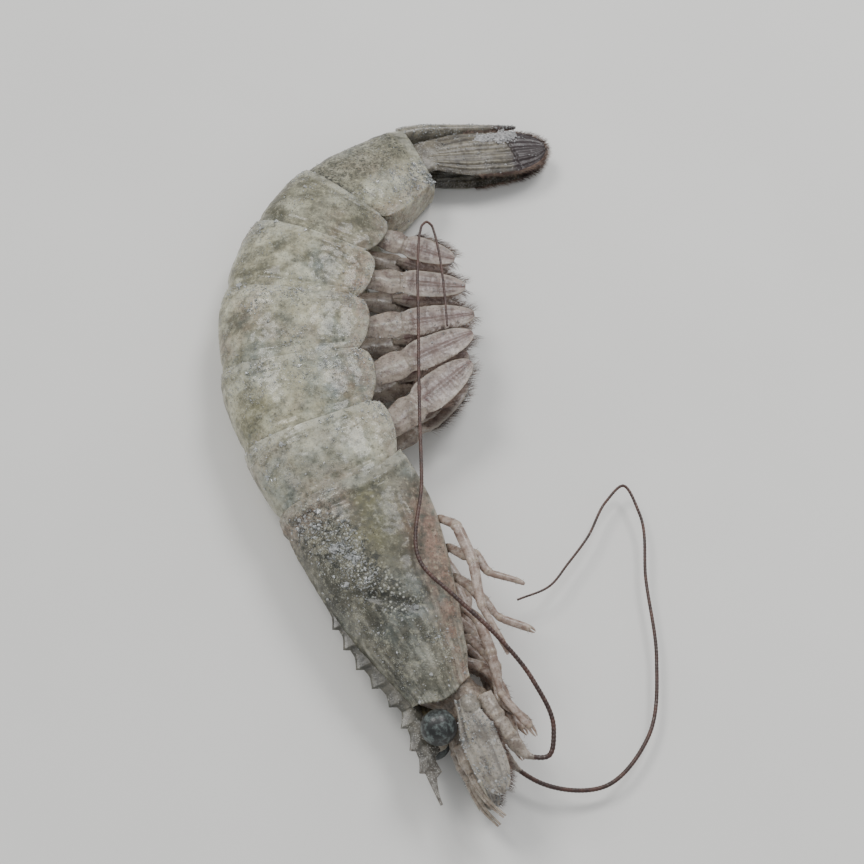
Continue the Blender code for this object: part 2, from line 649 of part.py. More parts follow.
def main():
    for ob in list(bpy.data.objects):
        bpy.data.objects.remove(ob, do_unlink=True)
    mats = {
        "carapace": paint("shell_head", (0.29, 0.27, 0.20), 0.38),
        "abdomen": paint("shell_body", (0.42, 0.41, 0.34), 0.36),
        "telson": paint("shell_telson", (0.30, 0.27, 0.22), 0.4),
        "uropod": paint("shell_tail", (0.24, 0.20, 0.17), 0.4),
        "eye": paint("eye", (0.03, 0.03, 0.03), 0.15),
        "limb": paint("limb_plate", (0.34, 0.30, 0.24), 0.4),
        "head": paint("mouthparts", (0.30, 0.24, 0.18), 0.5),
        "leg": paint("leg", (0.45, 0.38, 0.32), 0.45),
        "pleopod": paint("swimmeret", (0.40, 0.33, 0.31), 0.45),
        "feeler": paint("feeler", (0.16, 0.08, 0.05), 0.4),
    }
    build_carapace(mats["carapace"])
    for i in range(6):
        build_abdomen(i, mats["abdomen"])
    build_telson(mats["telson"])
    build_uropods(mats["uropod"])
    build_head(mats)
    build_feelers(mats["feeler"])
    build_legs(mats["leg"])
    build_swimmerets(mats["pleopod"])
    place_on_ground()


main()
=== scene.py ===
import math
from functools import partial

import bmesh
import bpy
import numpy as np
from mathutils import Matrix, Vector


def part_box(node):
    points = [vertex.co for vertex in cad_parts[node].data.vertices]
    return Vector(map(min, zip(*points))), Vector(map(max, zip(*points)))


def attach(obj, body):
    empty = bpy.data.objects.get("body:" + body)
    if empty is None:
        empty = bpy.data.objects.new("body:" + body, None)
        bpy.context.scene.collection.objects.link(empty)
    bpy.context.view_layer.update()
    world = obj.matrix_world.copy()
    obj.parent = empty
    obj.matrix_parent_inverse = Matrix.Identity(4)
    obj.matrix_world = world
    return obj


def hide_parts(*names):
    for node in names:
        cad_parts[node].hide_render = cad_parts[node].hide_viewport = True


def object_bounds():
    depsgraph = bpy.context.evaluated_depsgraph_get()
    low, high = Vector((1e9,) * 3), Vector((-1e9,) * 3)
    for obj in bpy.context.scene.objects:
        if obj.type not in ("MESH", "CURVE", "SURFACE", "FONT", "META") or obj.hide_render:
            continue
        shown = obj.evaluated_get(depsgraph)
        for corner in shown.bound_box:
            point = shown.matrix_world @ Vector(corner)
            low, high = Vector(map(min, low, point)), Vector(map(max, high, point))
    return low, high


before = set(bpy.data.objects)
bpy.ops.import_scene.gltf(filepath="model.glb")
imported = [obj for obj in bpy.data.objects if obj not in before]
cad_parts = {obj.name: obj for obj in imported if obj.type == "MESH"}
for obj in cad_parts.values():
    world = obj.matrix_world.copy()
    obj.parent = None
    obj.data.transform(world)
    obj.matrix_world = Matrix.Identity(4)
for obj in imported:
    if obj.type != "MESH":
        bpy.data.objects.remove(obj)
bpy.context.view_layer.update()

# Raw whiteleg shrimp on its right side, shell on and frosty.  Shapes are laid out in body
# coordinates, millimetres: s along the back from the eye to the tail, v up from belly to back,
# u to the shrimp's left.  The left flank faces up.
MM = 0.001
SIDES = ((1, "left"), (-1, "right"))
# the spine: s where shell pieces meet and the degrees it turns there, its first heading, the
# length of each bend and the place of the first joint
JOINTS = (39.5, 52.5, 66.0, 80.0, 93.5, 106.0, 124.5)
TURNS = (-1.0, 10.0, 15.0, 14.0, 14.0, 20.0, 31.0)
HEADING, BEND_LENGTH, SPINE_POINT = 112.0, 12.0, (-11.7, -13.5)
ROSTRUM_TIP, TELSON_TIP = -17.0, 148.0
# height of the back, depth of the belly and half breadth at stations along the spine
STATIONS = (0.0, 12.0, 25.0, 39.5, 52.0, 66.0, 80.0, 93.0, 106.0, 115.0, 124.5)
BACK = (6.0, 9.4, 11.4, 12.2, 13.1, 13.9, 13.9, 12.8, 11.2, 9.8, 8.2)
BELLY = (6.6, 9.6, 12.3, 12.8, 13.4, 13.8, 13.4, 12.4, 10.4, 8.8, 7.2)
WIDTH = (6.0, 8.4, 9.7, 9.5, 9.5, 9.3, 9.0, 8.4, 7.2, 6.2, 5.0)
PRESS, PLEURA_LOBE, HOLLOW, MID, GAP = 0.8, 2.3, 4.6, -1.0, 0.3
# size of a segment at shares of its length, and how far the tail's seam is swept
SEGMENT_F = (0.0, 0.10, 0.28, 0.50, 0.72, 0.90, 1.0, 1.08)
SEGMENT_SIZE = (0.945, 0.958, 0.982, 0.996, 1.004, 1.010, 0.996, 0.990)
TAIL_SWEEP = 0.35
TAIL_ROOT = JOINTS[6] + TAIL_SWEEP * 0.4 + GAP
LEG_LENGTHS, LEG_FLAT = (28.0, 35.0, 41.0, 34.0, 37.0), 0.66
SWIMMERET_LENGTHS = (23.5, 24.0, 23.5, 21.0, 17.5)
SWIMMERET_ANGLES = (40.0, 25.0, 8.0, -5.0, -19.0)
UROPOD_LENGTH, SCALE_LENGTH, SCALE_WIDTH = 27.0, 17.0, 6.6
EYE_SIZE = 3.1 / 2.9
# feelers: the first points in body coordinates, the rest as x, y and height
LEFT_BASE = ((-4.2, -5.6, 5.3), (-8.0, -5.8, 5.4), (-12.5, -6.5, 5.3), (-16.5, -7.8, 5.6),
             (-18.0, -10.6, 6.2), (-14.6, -13.2, 7.2), (-6.0, -13.4, 8.9), (3.5, -10.8, 10.3),
             (12.0, -7.4, 10.75), (19.3, -4.8, 10.75))
LEFT_WHIP = ((1.3, -14.4, 18.9), (2.0, 1.6, 17.3), (3.0, 19.6, 16.1), (3.9, 34.0, 15.6),
             (4.5, 38.3, 15.5), (5.1, 40.0, 15.4), (5.9, 40.6, 15.4), (6.7, 40.0, 15.3),
             (7.2, 38.4, 15.2), (7.7, 35.4, 15.1), (8.3, 28.0, 14.7), (8.5, 18.6, 14.3))
RIGHT_BASE = ((-4.2, -5.6, -5.3), (-8.0, -5.8, -5.4), (-12.5, -6.5, -5.3))
RIGHT_WHIP = ((20.0, -64.5, 3.8), (31.0, -65.5, 3.4), (39.8, -57.0, 3.0), (43.0, -43.0, 3.0),
              (42.8, -28.0, 3.2), (43.0, -15.0, 3.5), (40.6, -9.6, 3.6), (37.0, -12.8, 3.8),
              (32.8, -19.8, 4.0), (28.5, -25.1, 4.2), (24.9, -29.2, 4.5), (18.6, -32.0, 5.2))
GRAIN_COUNT, CRUST_LUMPS = 23000, 560
RNG = np.random.default_rng(7)

SURFACES = []      # (points, normals, frost) of the big surfaces, where ice crystals settle
HAIRS = []         # (roots, directions, lengths, radius) of every fringe and row of bristles
SHIFT = np.zeros(3)


# ------------------------------------------------------------ body frame and noise
def ease(t):
    t = np.clip(t, 0.0, 1.0)
    return t * t * (3.0 - 2.0 * t)


def bell(x, centre, width):
    return np.exp(-((np.asarray(x, float) - centre) / width) ** 2)


def unit(x):
    return np.clip(x, 0, 1)


def circle(n):
    return np.linspace(0, 2 * math.pi, n, endpoint=False)


def curve(xs, ys, x):
    """Smooth curve through the points (xs, ys), held level past both ends."""
    xs, ys = np.asarray(xs, float), np.asarray(ys, float)
    m = np.gradient(ys, xs)
    x = np.clip(x, xs[0], xs[-1])
    i = np.clip(np.searchsorted(xs, x) - 1, 0, len(xs) - 2)
    h = xs[i + 1] - xs[i]
    t = (x - xs[i]) / h
    return (ys[i] * (1 + 2 * t) * (1 - t) ** 2 + h * m[i] * t * (1 - t) ** 2
            + ys[i + 1] * t * t * (3 - 2 * t) + h * m[i + 1] * t * t * (t - 1))


SPINE_S = np.linspace(-40.0, 170.0, 2101)
SPINE_A = np.radians(HEADING - sum(d * ease((SPINE_S - j) / BEND_LENGTH + 0.5)
                                   for j, d in zip(JOINTS, TURNS)))


def travelled(rate, start):
    """Running sum of a rate along the spine, with the value start at the first joint."""
    step = SPINE_S[1] - SPINE_S[0]
    total = np.concatenate([[0], np.cumsum(step * 0.5 * (rate[1:] + rate[:-1]))])
    return total + (start - np.interp(JOINTS[0], SPINE_S, total))


SPINE_X = travelled(np.cos(SPINE_A), SPINE_POINT[0])
SPINE_Y = travelled(np.sin(SPINE_A), SPINE_POINT[1])
back, belly, half_width = (partial(curve, STATIONS, sizes) for sizes in (BACK, BELLY, WIDTH))


def roof(s):
    """Height of the hollow between the flaps, where the limbs are rooted."""
    return HOLLOW - 0.97 * belly(s)


def crest(s):
    """Line of the back, lifted towards the front and carried on along the rostrum."""
    s = np.asarray(s, float)
    behind = back(s) + 1.15 * (1.0 - ease((s - 8.0) / 16.0))
    return np.where(s > 0.0, behind, 7.15 - 0.12 * s - 0.0042 * s * s)


def axis_height(s):
    """Height of the middle plane above the surface; the tail sinks towards it."""
    s = np.asarray(s, float)
    h = half_width(np.maximum(s, STATIONS[2])) - PRESS
    return np.where(s > JOINTS[6], h - 0.055 * (s - JOINTS[6]), h)


def settle(z, p=0.5):
    """Heights below the surface become 0, blended over p."""
    z = np.asarray(z, float)
    return np.where(z >= p, z, np.where(z <= -p, 0.0, (z + p) ** 2 / (4.0 * p)))


def body(s, v, u):
    s, v, u = np.broadcast_arrays(np.asarray(s, float), np.asarray(v, float), np.asarray(u, float))
    a = np.interp(s, SPINE_S, SPINE_A)
    x = np.interp(s, SPINE_S, SPINE_X) - np.sin(a) * v
    y = np.interp(s, SPINE_S, SPINE_Y) + np.cos(a) * v
    return np.stack([x, y, settle(axis_height(s) + u)], axis=-1) + SHIFT


def rigid(s0, ds, dv, u):
    """As body, but straight on from s0, for a limb that doesn't bend with the spine."""
    a = float(np.interp(s0, SPINE_S, SPINE_A))
    ds, dv, u = np.broadcast_arrays(np.asarray(ds, float), np.asarray(dv, float), np.asarray(u, float))
    x = float(np.interp(s0, SPINE_S, SPINE_X)) + math.cos(a) * ds - math.sin(a) * dv
    y = float(np.interp(s0, SPINE_S, SPINE_Y)) + math.sin(a) * ds + math.cos(a) * dv
    return np.stack([x, y, settle(float(axis_height(s0)) + u)], axis=-1) + SHIFT


def grounded(p, lift=0.0):
    """The same points, none lower than lift above the surface."""
    p[..., 2] = np.maximum(p[..., 2], SHIFT[2] + lift)
    return p


def value_noise(p, seed):
    """Random values, -1 to 1, at whole-number points, and smooth between them."""
    primes, bits = (374761393, 668265263, 1440662683, 974634777, 1274126177), 0xFFFFFFFF
    i = np.floor(p).astype(np.int64)
    f = p - i
    w = f * f * (3.0 - 2.0 * f)
    out = np.zeros(p.shape[:-1])
    for c in range(8):
        corner = np.array([c & 1, (c >> 1) & 1, (c >> 2) & 1])
        q = i + corner
        h = (sum(q[..., k] * primes[k] for k in range(3)) + seed * primes[3]) & bits
        h = ((h ^ (h >> 13)) * primes[4]) & bits
        h = ((h ^ (h >> 16)) & 0xFFFF) / 65535.0 * 2.0 - 1.0
        out += h * np.prod(np.where(corner == 1, w, 1.0 - w), axis=-1)
    return out


def fbm(p, size, seed=0, octaves=4, gain=0.5):
    """Smooth random field, about -1 to 1, whose largest features are size mm across."""
    p = np.asarray(p, float) / size
    total, amp, norm = np.zeros(p.shape[:-1]), 1.0, 0.0
    for k in range(octaves):
        total += amp * value_noise(p * 2.03 ** k + 17.3 * k, seed + k)
        norm += amp
        amp *= gain
    return total / norm * 1.5


# ------------------------------------------------------------------ mesh helpers
def add_object(name, data):
    ob = bpy.data.objects.new(name, data)
    bpy.context.scene.collection.objects.link(ob)
    return ob


def make(name, verts, faces, material, node=None, attrs=None, smooth=True):
    """One piece of the shrimp, from points in millimetres, with values at its points."""
    me = bpy.data.meshes.new(name)
    me.from_pydata((np.asarray(verts) * MM).tolist(), [], faces)
    me.update()
    for key, val in (attrs or {}).items():
        me.attributes.new(key, "FLOAT", "POINT").data.foreach_set("value", np.asarray(val, np.float32))
    if smooth:
        me.polygons.foreach_set("use_smooth", np.ones(len(me.polygons), bool))
    ob = add_object(name, me)
    me.materials.append(material)
    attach(ob, "root")
    if node:
        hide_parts(node)
    return ob


def grid_faces(rows, cols):
    out = []
    for i in range(rows - 1):
        for j in range(cols):
            k = (j + 1) % cols
            out.append((i * cols + j, i * cols + k, (i + 1) * cols + k, (i + 1) * cols + j))
    return out


def normals(p):
    """Unit normals of a grid of rings, turned away from the middle of each ring."""
    du = np.gradient(p, axis=0)
    dv = np.roll(p, -1, axis=1) - np.roll(p, 1, axis=1)
    n = np.cross(dv, du)
    n = n / np.maximum(np.linalg.norm(n, axis=-1, keepdims=True), 1e-9)
    middle = p.mean(axis=1, keepdims=True)
    return n * (1.0 if np.sum((p - middle) * n) > 0 else -1.0)


def pushed(p, height):
    """A grid moved out along its normals by height, and those normals."""
    n = normals(p)
    return p + n * height[..., None], n


def catches_ice(p, n, frost):
    """Loose crystals settle on this grid, the more the higher its frost."""
    SURFACES.append((p.reshape(-1, 3), n.reshape(-1, 3), np.full(p[..., 0].size, frost)))


class Build:
    """Collects closed strips into one mesh, with values at its points."""

    def __init__(self):
        self.verts, self.faces, self.values, self.count = [], [], {}, 0

    def add(self, verts, faces, **attrs):
        self.faces += [tuple(i + self.count for i in f) for f in faces]
        self.verts.append(verts)
        for key in {**self.values, **attrs}:
            done = self.values.setdefault(key, [np.zeros(self.count)] if self.count else [])
            done.append(attrs.get(key, np.zeros(len(verts))))
        self.count += len(verts)

    def grid(self, p, **attrs):
        """Rings p[i, j]; each end is closed by a fan."""
        rows, cols = p.shape[:2]
        first, last = rows * cols, (rows - 1) * cols
        faces = grid_faces(rows, cols)
        for j in range(cols):
            k = (j + 1) % cols
            faces += [(k, j, first), (last + j, last + k, first + 1)]
        values = {}
        for key, x in attrs.items():
            x = np.broadcast_to(np.asarray(x, float), (rows, cols))
            values[key] = np.concatenate([x.reshape(-1), [x[0].mean(), x[-1].mean()]])
        self.add(np.vstack([p.reshape(-1, 3), p[0].mean(axis=0), p[-1].mean(axis=0)]), faces, **values)

    def done(self, name, material, node=None):
        values = {key: np.concatenate(x) for key, x in self.values.items()}
        ob = make(name, np.vstack(self.verts), self.faces, material, node, values)
        bm = bmesh.new()
        bm.from_mesh(ob.data)
        bmesh.ops.recalc_face_normals(bm, faces=bm.faces)
        bm.to_mesh(ob.data)
        bm.free()


def one_strip(name, node, material, p, **attrs):
    """A piece of a single strip, whose rings are p."""
    b = Build()
    b.grid(p, **attrs)
    b.done(name, material, node)


def frames(path):
    """Direction of a path at each point, and two directions across it, the second upright."""
    t = np.gradient(path, axis=0)
    t /= np.linalg.norm(t, axis=1)[:, None]
    b = np.cross(t, (0.0, 0.0, 1.0))
    b /= np.maximum(np.linalg.norm(b, axis=1)[:, None], 1e-6)
    return t, b, np.cross(b, t)


def tube_rings(path, radii, n, flat=1.0):
    """Rings of n points round a path; flat squeezes their upright direction."""
    _, b, c = frames(path)
    w = circle(n)[None, :, None]
    p = path[:, None] + radii[:, None, None] * (np.cos(w) * b[:, None] + flat * np.sin(w) * c[:, None])
    p[..., 2] = settle(p[..., 2] - SHIFT[2], 0.12) + SHIFT[2]
    return p


def distances(path):
    return np.concatenate([[0], np.cumsum(np.linalg.norm(np.diff(path, axis=0), axis=1))])


def resampled(path, d, at):
    return np.stack([np.interp(at, d, path[:, k]) for k in range(3)], axis=1)


def along(points, count):
    """Smooth path through the points, as count points an equal distance apart."""
    pts = np.asarray(points, float)
    d = distances(pts)
    fine = np.linspace(0, d[-1], 20 * count)
    q = np.stack([curve(d, pts[:, k], fine) for k in range(3)], axis=1)
    e = distances(q)
    return resampled(q, e, np.linspace(0, e[-1], count))


def links(points, count, cut=1.1, steps=7):
    """Path of straight links with rounded corners; also the distance of each point and corner."""
    pts = np.asarray(points, float)
    out = [pts[0]]
    for a, b, c in zip(pts[:-2], pts[1:-1], pts[2:]):
        p, q = (b + (e - b) * min(cut / np.linalg.norm(e - b), 0.4) for e in (a, c))
        out += [p * (1 - t) ** 2 + b * 2 * t * (1 - t) + q * t * t for t in np.linspace(0, 1, steps)]
    out = np.array(out + [pts[-1]])
    d = distances(out)
    at = np.linspace(0, d[-1], count)
    corners = [0.0] + [d[1 + steps * k + steps // 2] for k in range(len(pts) - 2)] + [d[-1]]
    return resampled(out, d, at), at, corners


# ----------------------------------------------------------------------- materials
def srgb(r, g, b):
    c = np.array([r, g, b]) / 255.0
    c = np.where(c <= 0.04045, c / 12.92, ((c + 0.055) / 1.055) ** 2.4)
    return (float(c[0]), float(c[1]), float(c[2]), 1.0)


class Nodes:
    """Short calls for building one procedural material, with coordinates in millimetres."""

    def __init__(self, name):
        self.mat = bpy.data.materials.new(name)
        self.mat.use_nodes = True
        self.tree = self.mat.node_tree
        inputs = {0: self.put("ShaderNodeTexCoord", {}).outputs["Object"], "Scale": 1.0 / MM}
        self.mm = self.put("ShaderNodeVectorMath", inputs, operation="SCALE").outputs[0]

    def put(self, kind, inputs, **settings):
        node = self.tree.nodes.new(kind)
        for key, val in settings.items():
            setattr(node, key, val)
        self.feed(node, inputs)
        return node

    def feed(self, node, inputs):
        """Set each input, by name or number, to a value or to another node's output."""
        for key, val in inputs.items():
            if isinstance(val, bpy.types.NodeSocket):
                self.tree.links.new(val, node.inputs[key])
            else:
                node.inputs[key].default_value = val

    def noise(self, size, detail=3.0, rough=0.55):
        inputs = {"Vector": self.mm, "Scale": 1.0 / size, "Detail": detail, "Roughness": rough}
        return self.put("ShaderNodeTexNoise", inputs).outputs["Fac"]

    def cells(self, size, rand=1.0):
        inputs = {"Vector": self.mm, "Scale": 1.0 / size, "Randomness": rand}
        return self.put("ShaderNodeTexVoronoi", inputs).outputs["Distance"]

    def attr(self, name):
        return self.put("ShaderNodeAttribute", {}, attribute_name=name).outputs["Fac"]

    def calc(self, op, a, b, clamp=False):
        return self.put("ShaderNodeMath", {0: a, 1: b}, operation=op, use_clamp=clamp).outputs[0]

    def times(self, a, b):
        return self.calc("MULTIPLY", a, b)

    def step(self, x, lo, hi):
        """Smooth ramp from 0 at lo to 1 at hi."""
        inputs = {"Value": x, "From Min": lo, "From Max": hi}
        return self.put("ShaderNodeMapRange", inputs, interpolation_type="SMOOTHSTEP").outputs["Result"]

    def uneven(self, value, noise, gain):
        """A value that a noise raises and lowers."""
        return self.calc("ADD", value, self.times(self.calc("SUBTRACT", noise, 0.5), gain))

    def dots(self, size, edge, cloud, lo):
        """Small dots, gathered in clouds."""
        where = self.step(self.noise(cloud, 2.0), lo, 0.58)
        return self.times(self.step(self.cells(size), edge, 0.10), where)

    def mix(self, fac, a, b):
        return self.put("ShaderNodeMix", {0: fac, 6: a, 7: b}, data_type="RGBA").outputs[2]

    def clouds(self, size, dark, light, lo, hi, detail=4.0, rough=0.6):
        return self.mix(self.step(self.noise(size, detail, rough), lo, hi), srgb(*dark), srgb(*light))

    def layers(self, colour, *layers):
        """A colour with others laid over it, each as (rgb, mask) or (rgb, mask, share of it)."""
        for rgb, mask, *share in layers:
            colour = self.mix(self.times(mask, share[0]) if share else mask, colour, srgb(*rgb))
        return colour

    def bump(self, height, strength, distance, under=None):
        inputs = {"Strength": strength, "Distance": distance * MM, "Height": height}
        if under is not None:
            inputs["Normal"] = under
        return self.put("ShaderNodeBump", inputs).outputs["Normal"]

    def finish(self, colour, rough, normal=None, **fixed):
        inputs = {key.replace("_", " "): val for key, val in fixed.items()}
        inputs.update({"Base Color": colour, "Roughness": rough})
        if normal is not None:
            inputs["Normal"] = normal
        self.feed(self.tree.nodes["Principled BSDF"], inputs)
        return self.mat


def shell_material(name, base, dark, pale, glaze):
    """Raw shell: clouded olive grey with dark pigment specks, glazed and dusted with ice grains."""
    m = Nodes(name)
    blotch, fine, mottle = m.noise(2.2, 4.0, 0.65), m.noise(0.55, 4.0, 0.7), m.noise(0.95, 4.0, 0.75)
    colour = m.layers(
        m.clouds(7.0, dark, base, 0.36, 0.62),
        (pale, m.step(m.noise(4.4, 2.0), 0.44, 0.70), 0.85),
        ((126, 122, 86), m.attr("olive"), m.step(blotch, 0.25, 0.7)),
        ((120, 134, 134), m.attr("teal"), m.step(m.noise(3.1), 0.3, 0.62)),
        ((150, 120, 106), m.attr("warm"), m.step(m.noise(1.9), 0.25, 0.6)),
        ((74, 74, 63), m.step(blotch, 0.58, 0.32), 0.48),
        ((44, 43, 36), m.attr("shade"), m.calc("ADD", 0.45, m.step(fine, 0.4, 0.6))),
        ((66, 64, 53), m.step(fine, 0.47, 0.30), 0.55),
        ((84, 84, 71), m.step(mottle, 0.53, 0.33), 0.44),
        ((200, 197, 172), m.step(mottle, 0.50, 0.72), 0.44),
        ((42, 37, 30), m.dots(0.62, 0.24, 4.0, 0.38), 0.80),
        # pale rims, edges and lining, and a painted highlight on the last segment
        ((184, 182, 168), m.attr("paler_and_painted_highlight"), m.step(blotch, 0.3, 0.6)))
    # ice grains: two sizes of bead, gathered where the rime lies
    cover = m.uneven(m.attr("frost"), m.noise(1.5, 4.0, 0.7), 1.5)
    big = m.times(m.step(m.cells(0.62), 0.46, 0.10), m.step(cover, 0.34, 0.62))
    small = m.times(m.step(m.cells(0.30), 0.50, 0.10), m.step(cover, 0.20, 0.52))
    grains = m.calc("MAXIMUM", big, m.times(small, 0.75))
    film = m.times(m.step(cover, 0.30, 0.95), 0.26)
    rime = m.calc("MAXIMUM", film, m.times(grains, 0.80), clamp=True)
    # coarse crystals: pale beads with dark gaps between them
    coarse = m.attr("coarse")
    thick = m.step(m.calc("ADD", coarse, m.times(blotch, 0.5)), 0.62, 1.05)
    beads = m.times(m.step(m.cells(0.72), 0.42, 0.14), thick)
    gaps = m.times(m.step(m.noise(1.1, 4.0, 0.75), 0.52, 0.40), m.step(coarse, 0.15, 0.55))
    colour = m.layers(
        colour, ((206, 205, 188), rime), ((44, 46, 42), gaps, 0.84), ((198, 199, 190), beads, 0.76))
    grains = m.calc("MAXIMUM", grains, beads)
    matt = m.calc("ADD", 0.40, m.times(fine, 0.22))
    normal = m.bump(m.noise(1.3, 5.0, 0.62), 0.8, 0.30)
    normal = m.bump(m.noise(0.30, 3.0, 0.7), 0.9, 0.10, normal)
    normal = m.bump(grains, 0.9, 0.13, normal)
    return m.finish(colour, m.calc("SUBTRACT", matt, m.times(grains, 0.30), clamp=True), normal,
                    Subsurface_Weight=0.28, Subsurface_Scale=0.0014, Subsurface_Radius=(1.0, 0.85, 0.6),
                    Coat_Weight=glaze, Coat_Roughness=0.14, IOR=1.40)


def plate_material(name, base, dark, tip, glaze=0.3):
    """Thin ribbed blades: clouded, darker between the ribs and towards the tip, edges pale."""
    m = Nodes(name)
    cover = m.uneven(m.attr("frost"), m.noise(1.2, 4.0, 0.7), 1.4)
    grains = m.times(m.step(m.cells(0.36), 0.48, 0.10), m.step(cover, 0.30, 0.62))
    film = m.times(m.step(cover, 0.4, 1.0), 0.45)
    rime = m.calc("MAXIMUM", film, m.times(grains, 0.8), clamp=True)
    colour = m.layers(
        m.clouds(2.6, dark, base, 0.36, 0.62, 4.0, 0.65),
        ((52, 46, 40), m.step(m.noise(0.5, 4.0, 0.7), 0.50, 0.32), 0.6),
        ((146, 139, 122), m.attr("vein"), m.step(m.noise(1.0), 0.3, 0.6)),
        ((44, 38, 34), m.attr("shade")),
        (tip, m.step(m.uneven(m.attr("tip"), m.noise(2.6, 4.0, 0.65), 0.9), 0.25, 0.80)),
        ((46, 34, 30), m.dots(0.45, 0.26, 2.4, 0.40), 0.7),
        ((176, 168, 156), m.attr("edge")), ((188, 186, 180), rime))
    normal = m.bump(grains, 0.7, 0.09, m.bump(m.noise(0.8, 4.0, 0.65), 0.7, 0.16))
    return m.finish(colour, m.calc("ADD", 0.34, m.times(rime, 0.28)), normal,
                    Subsurface_Weight=0.15, Subsurface_Scale=0.0008, Subsurface_Radius=(1.0, 0.8, 0.6),
                    Coat_Weight=glaze, Coat_Roughness=0.22)


def limb_material(name, base, dark):
    """Thin limb shell: warm, with paler joints and fine red-brown dots."""
    m = Nodes(name)
    rime = m.times(m.step(m.cells(0.30), 0.48, 0.12), m.step(m.noise(0.9, 3.0, 0.6), 0.50, 0.66))
    colour = m.layers(
        m.clouds(1.8, dark, base, 0.35, 0.64),
        ((166, 152, 134), m.attr("joint"), 0.6),
        ((70, 52, 42), m.step(m.noise(0.4, 3.0, 0.65), 0.50, 0.32), 0.5),
        ((84, 44, 34), m.dots(0.40, 0.26, 1.6, 0.40), 0.6), ((186, 184, 178), rime, 0.7))
    normal = m.bump(rime, 0.5, 0.05, m.bump(m.noise(0.5, 4.0, 0.6), 0.5, 0.05))
    return m.finish(colour, 0.42, normal, Subsurface_Weight=0.3, Subsurface_Scale=0.0008,
                    Subsurface_Radius=(1.0, 0.75, 0.55), Coat_Weight=0.25, Coat_Roughness=0.16)


def eye_material(name):
    """Black, finely faceted, with a thin pale veil of frost."""
    m = Nodes(name)
    veil = (104, 114, 112), m.step(m.noise(1.1, 4.0, 0.6), 0.44, 0.68), 0.72
    colour = m.layers(m.clouds(1.6, (15, 17, 17), (36, 39, 39), 0.35, 0.7, 3.0, 0.55), veil)
    facets = m.bump(m.cells(0.14, 0.25), 0.35, 0.05)
    return m.finish(colour, 0.44, facets, Coat_Weight=0.18, Coat_Roughness=0.2)


def feeler_material(name):
    m = Nodes(name)
    frost = (170, 164, 156), m.step(m.noise(0.5), 0.60, 0.74), 0.35
    colour = m.layers(m.clouds(2.2, (48, 27, 22), (80, 50, 40), 0.35, 0.68, 3.0, 0.55), frost)
    return m.finish(colour, 0.4, m.bump(m.noise(0.3), 0.4, 0.05), Coat_Weight=0.15, Coat_Roughness=0.25)


def ice_material(name, rgb, rough, clear):
    m = Nodes(name)
    milky = m.times(m.step(m.noise(0.5, 2.0), 0.3, 0.7), 0.5)
    # near white on the crystals that are painted glints; the milky patches are the ice's own
    colour = m.layers(srgb(*rgb), ((232, 234, 234), m.calc("MAXIMUM", milky, m.attr("painted_glint"))))
    return m.finish(colour, rough, m.bump(m.noise(0.25, 3.0, 0.6), 0.4, 0.05), Transmission_Weight=clear,
                    Subsurface_Weight=0.3, Subsurface_Scale=0.0005, Subsurface_Radius=(0.9, 1.0, 1.0),
                    IOR=1.31, Coat_Weight=0.2, Coat_Roughness=0.08)


def hair_material(name):
    m = Nodes(name)
    return m.finish(m.clouds(2.0, (78, 58, 50), (136, 116, 104), 0.35, 0.65, 2.0, 0.55), 0.5)


# each material's maker, the record's slot for its pieces if any, its colours and its finish
MATERIALS = {
    "shell_body": (shell_material, "body_shell", (176, 171, 144), (98, 95, 73), (210, 208, 184), 0.34),
    "shell_head": (shell_material, "head_shell", (118, 114, 100), (72, 70, 61), (142, 139, 126), 0.22),
    "shell_beak": (plate_material, "head_shell", (96, 94, 84), (60, 59, 52), (70, 62, 54)),
    "tail_blades": (plate_material, "tail_fan", (98, 91, 76), (54, 48, 39), (38, 24, 25), 0.15),
    "tail_spike": (plate_material, "tail_fan", (136, 130, 115), (88, 83, 72), (60, 45, 41)),
    "scale_plate": (plate_material, "feeler_base", (158, 152, 142), (116, 109, 100), (112, 92, 82)),
    "swimmeret_blade": (plate_material, "swimmeret", (156, 142, 132), (104, 86, 78), (92, 66, 62)),
    "leg_shell": (limb_material, "leg", (174, 159, 148), (132, 111, 99)),
    "antennule_shell": (limb_material, "feeler_base", (160, 150, 138), (116, 105, 95)),
    "mouthparts": (limb_material, None, (148, 135, 121), (98, 86, 76)),
    "eye_stalk": (limb_material, "eye", (164, 158, 146), (116, 108, 98)),
    "eye_cornea": (eye_material, "eye"),
    "feeler_red_brown": (feeler_material, "feeler"),
    "setae": (hair_material, None),
    "ice_crystal": (ice_material, None, (178, 182, 181), 0.10, 0.60),
    "ice_crust": (ice_material, None, (186, 184, 184), 0.35, 0.30),
}


# ------------------------------------------------------------------------ shell
WIDEST, FLAP = 0.58, 0.42      # shares of the half outline above and below the widest line
LINING = -1.2                  # what y is on the lining, which has no place on the outline


def half_profile(t):
    """Half outline of the shell: t 0 at the ridge, WIDEST at the widest line, 1 at the flap edge."""
    a = unit(t / WIDEST) * 0.5 * math.pi
    low = unit((t - WIDEST) / FLAP)
    x = np.where(t <= WIDEST, np.sin(a) ** 0.92, 1.0 - 0.27 * low ** 2.1)
    y = np.where(t <= WIDEST, np.cos(a), -low)
    return x, y


def both_sides(t):
    """The whole outline, from t at the right flap's edge up over the ridge and down again."""
    x, y = half_profile(t)
    return np.concatenate([-x, x[::-1][1:]]), np.concatenate([y, y[::-1][1:]])


def seam(k, gap, sweep=1.0):
    """Line where two shell pieces meet: s at each height v, moved by gap."""
    s = JOINTS[k]
    top, low = float(back(s)) - MID, float(belly(s)) + MID

    def line(v):
        v = np.asarray(v, float)
        y = (v - MID) / np.where(v > MID, top, low)
        return s + sweep * (-0.9 * (1.0 - np.minimum(y * y, 1.0)) + 1.9 * np.maximum(0.0, -y) ** 2.2) + gap
    return line


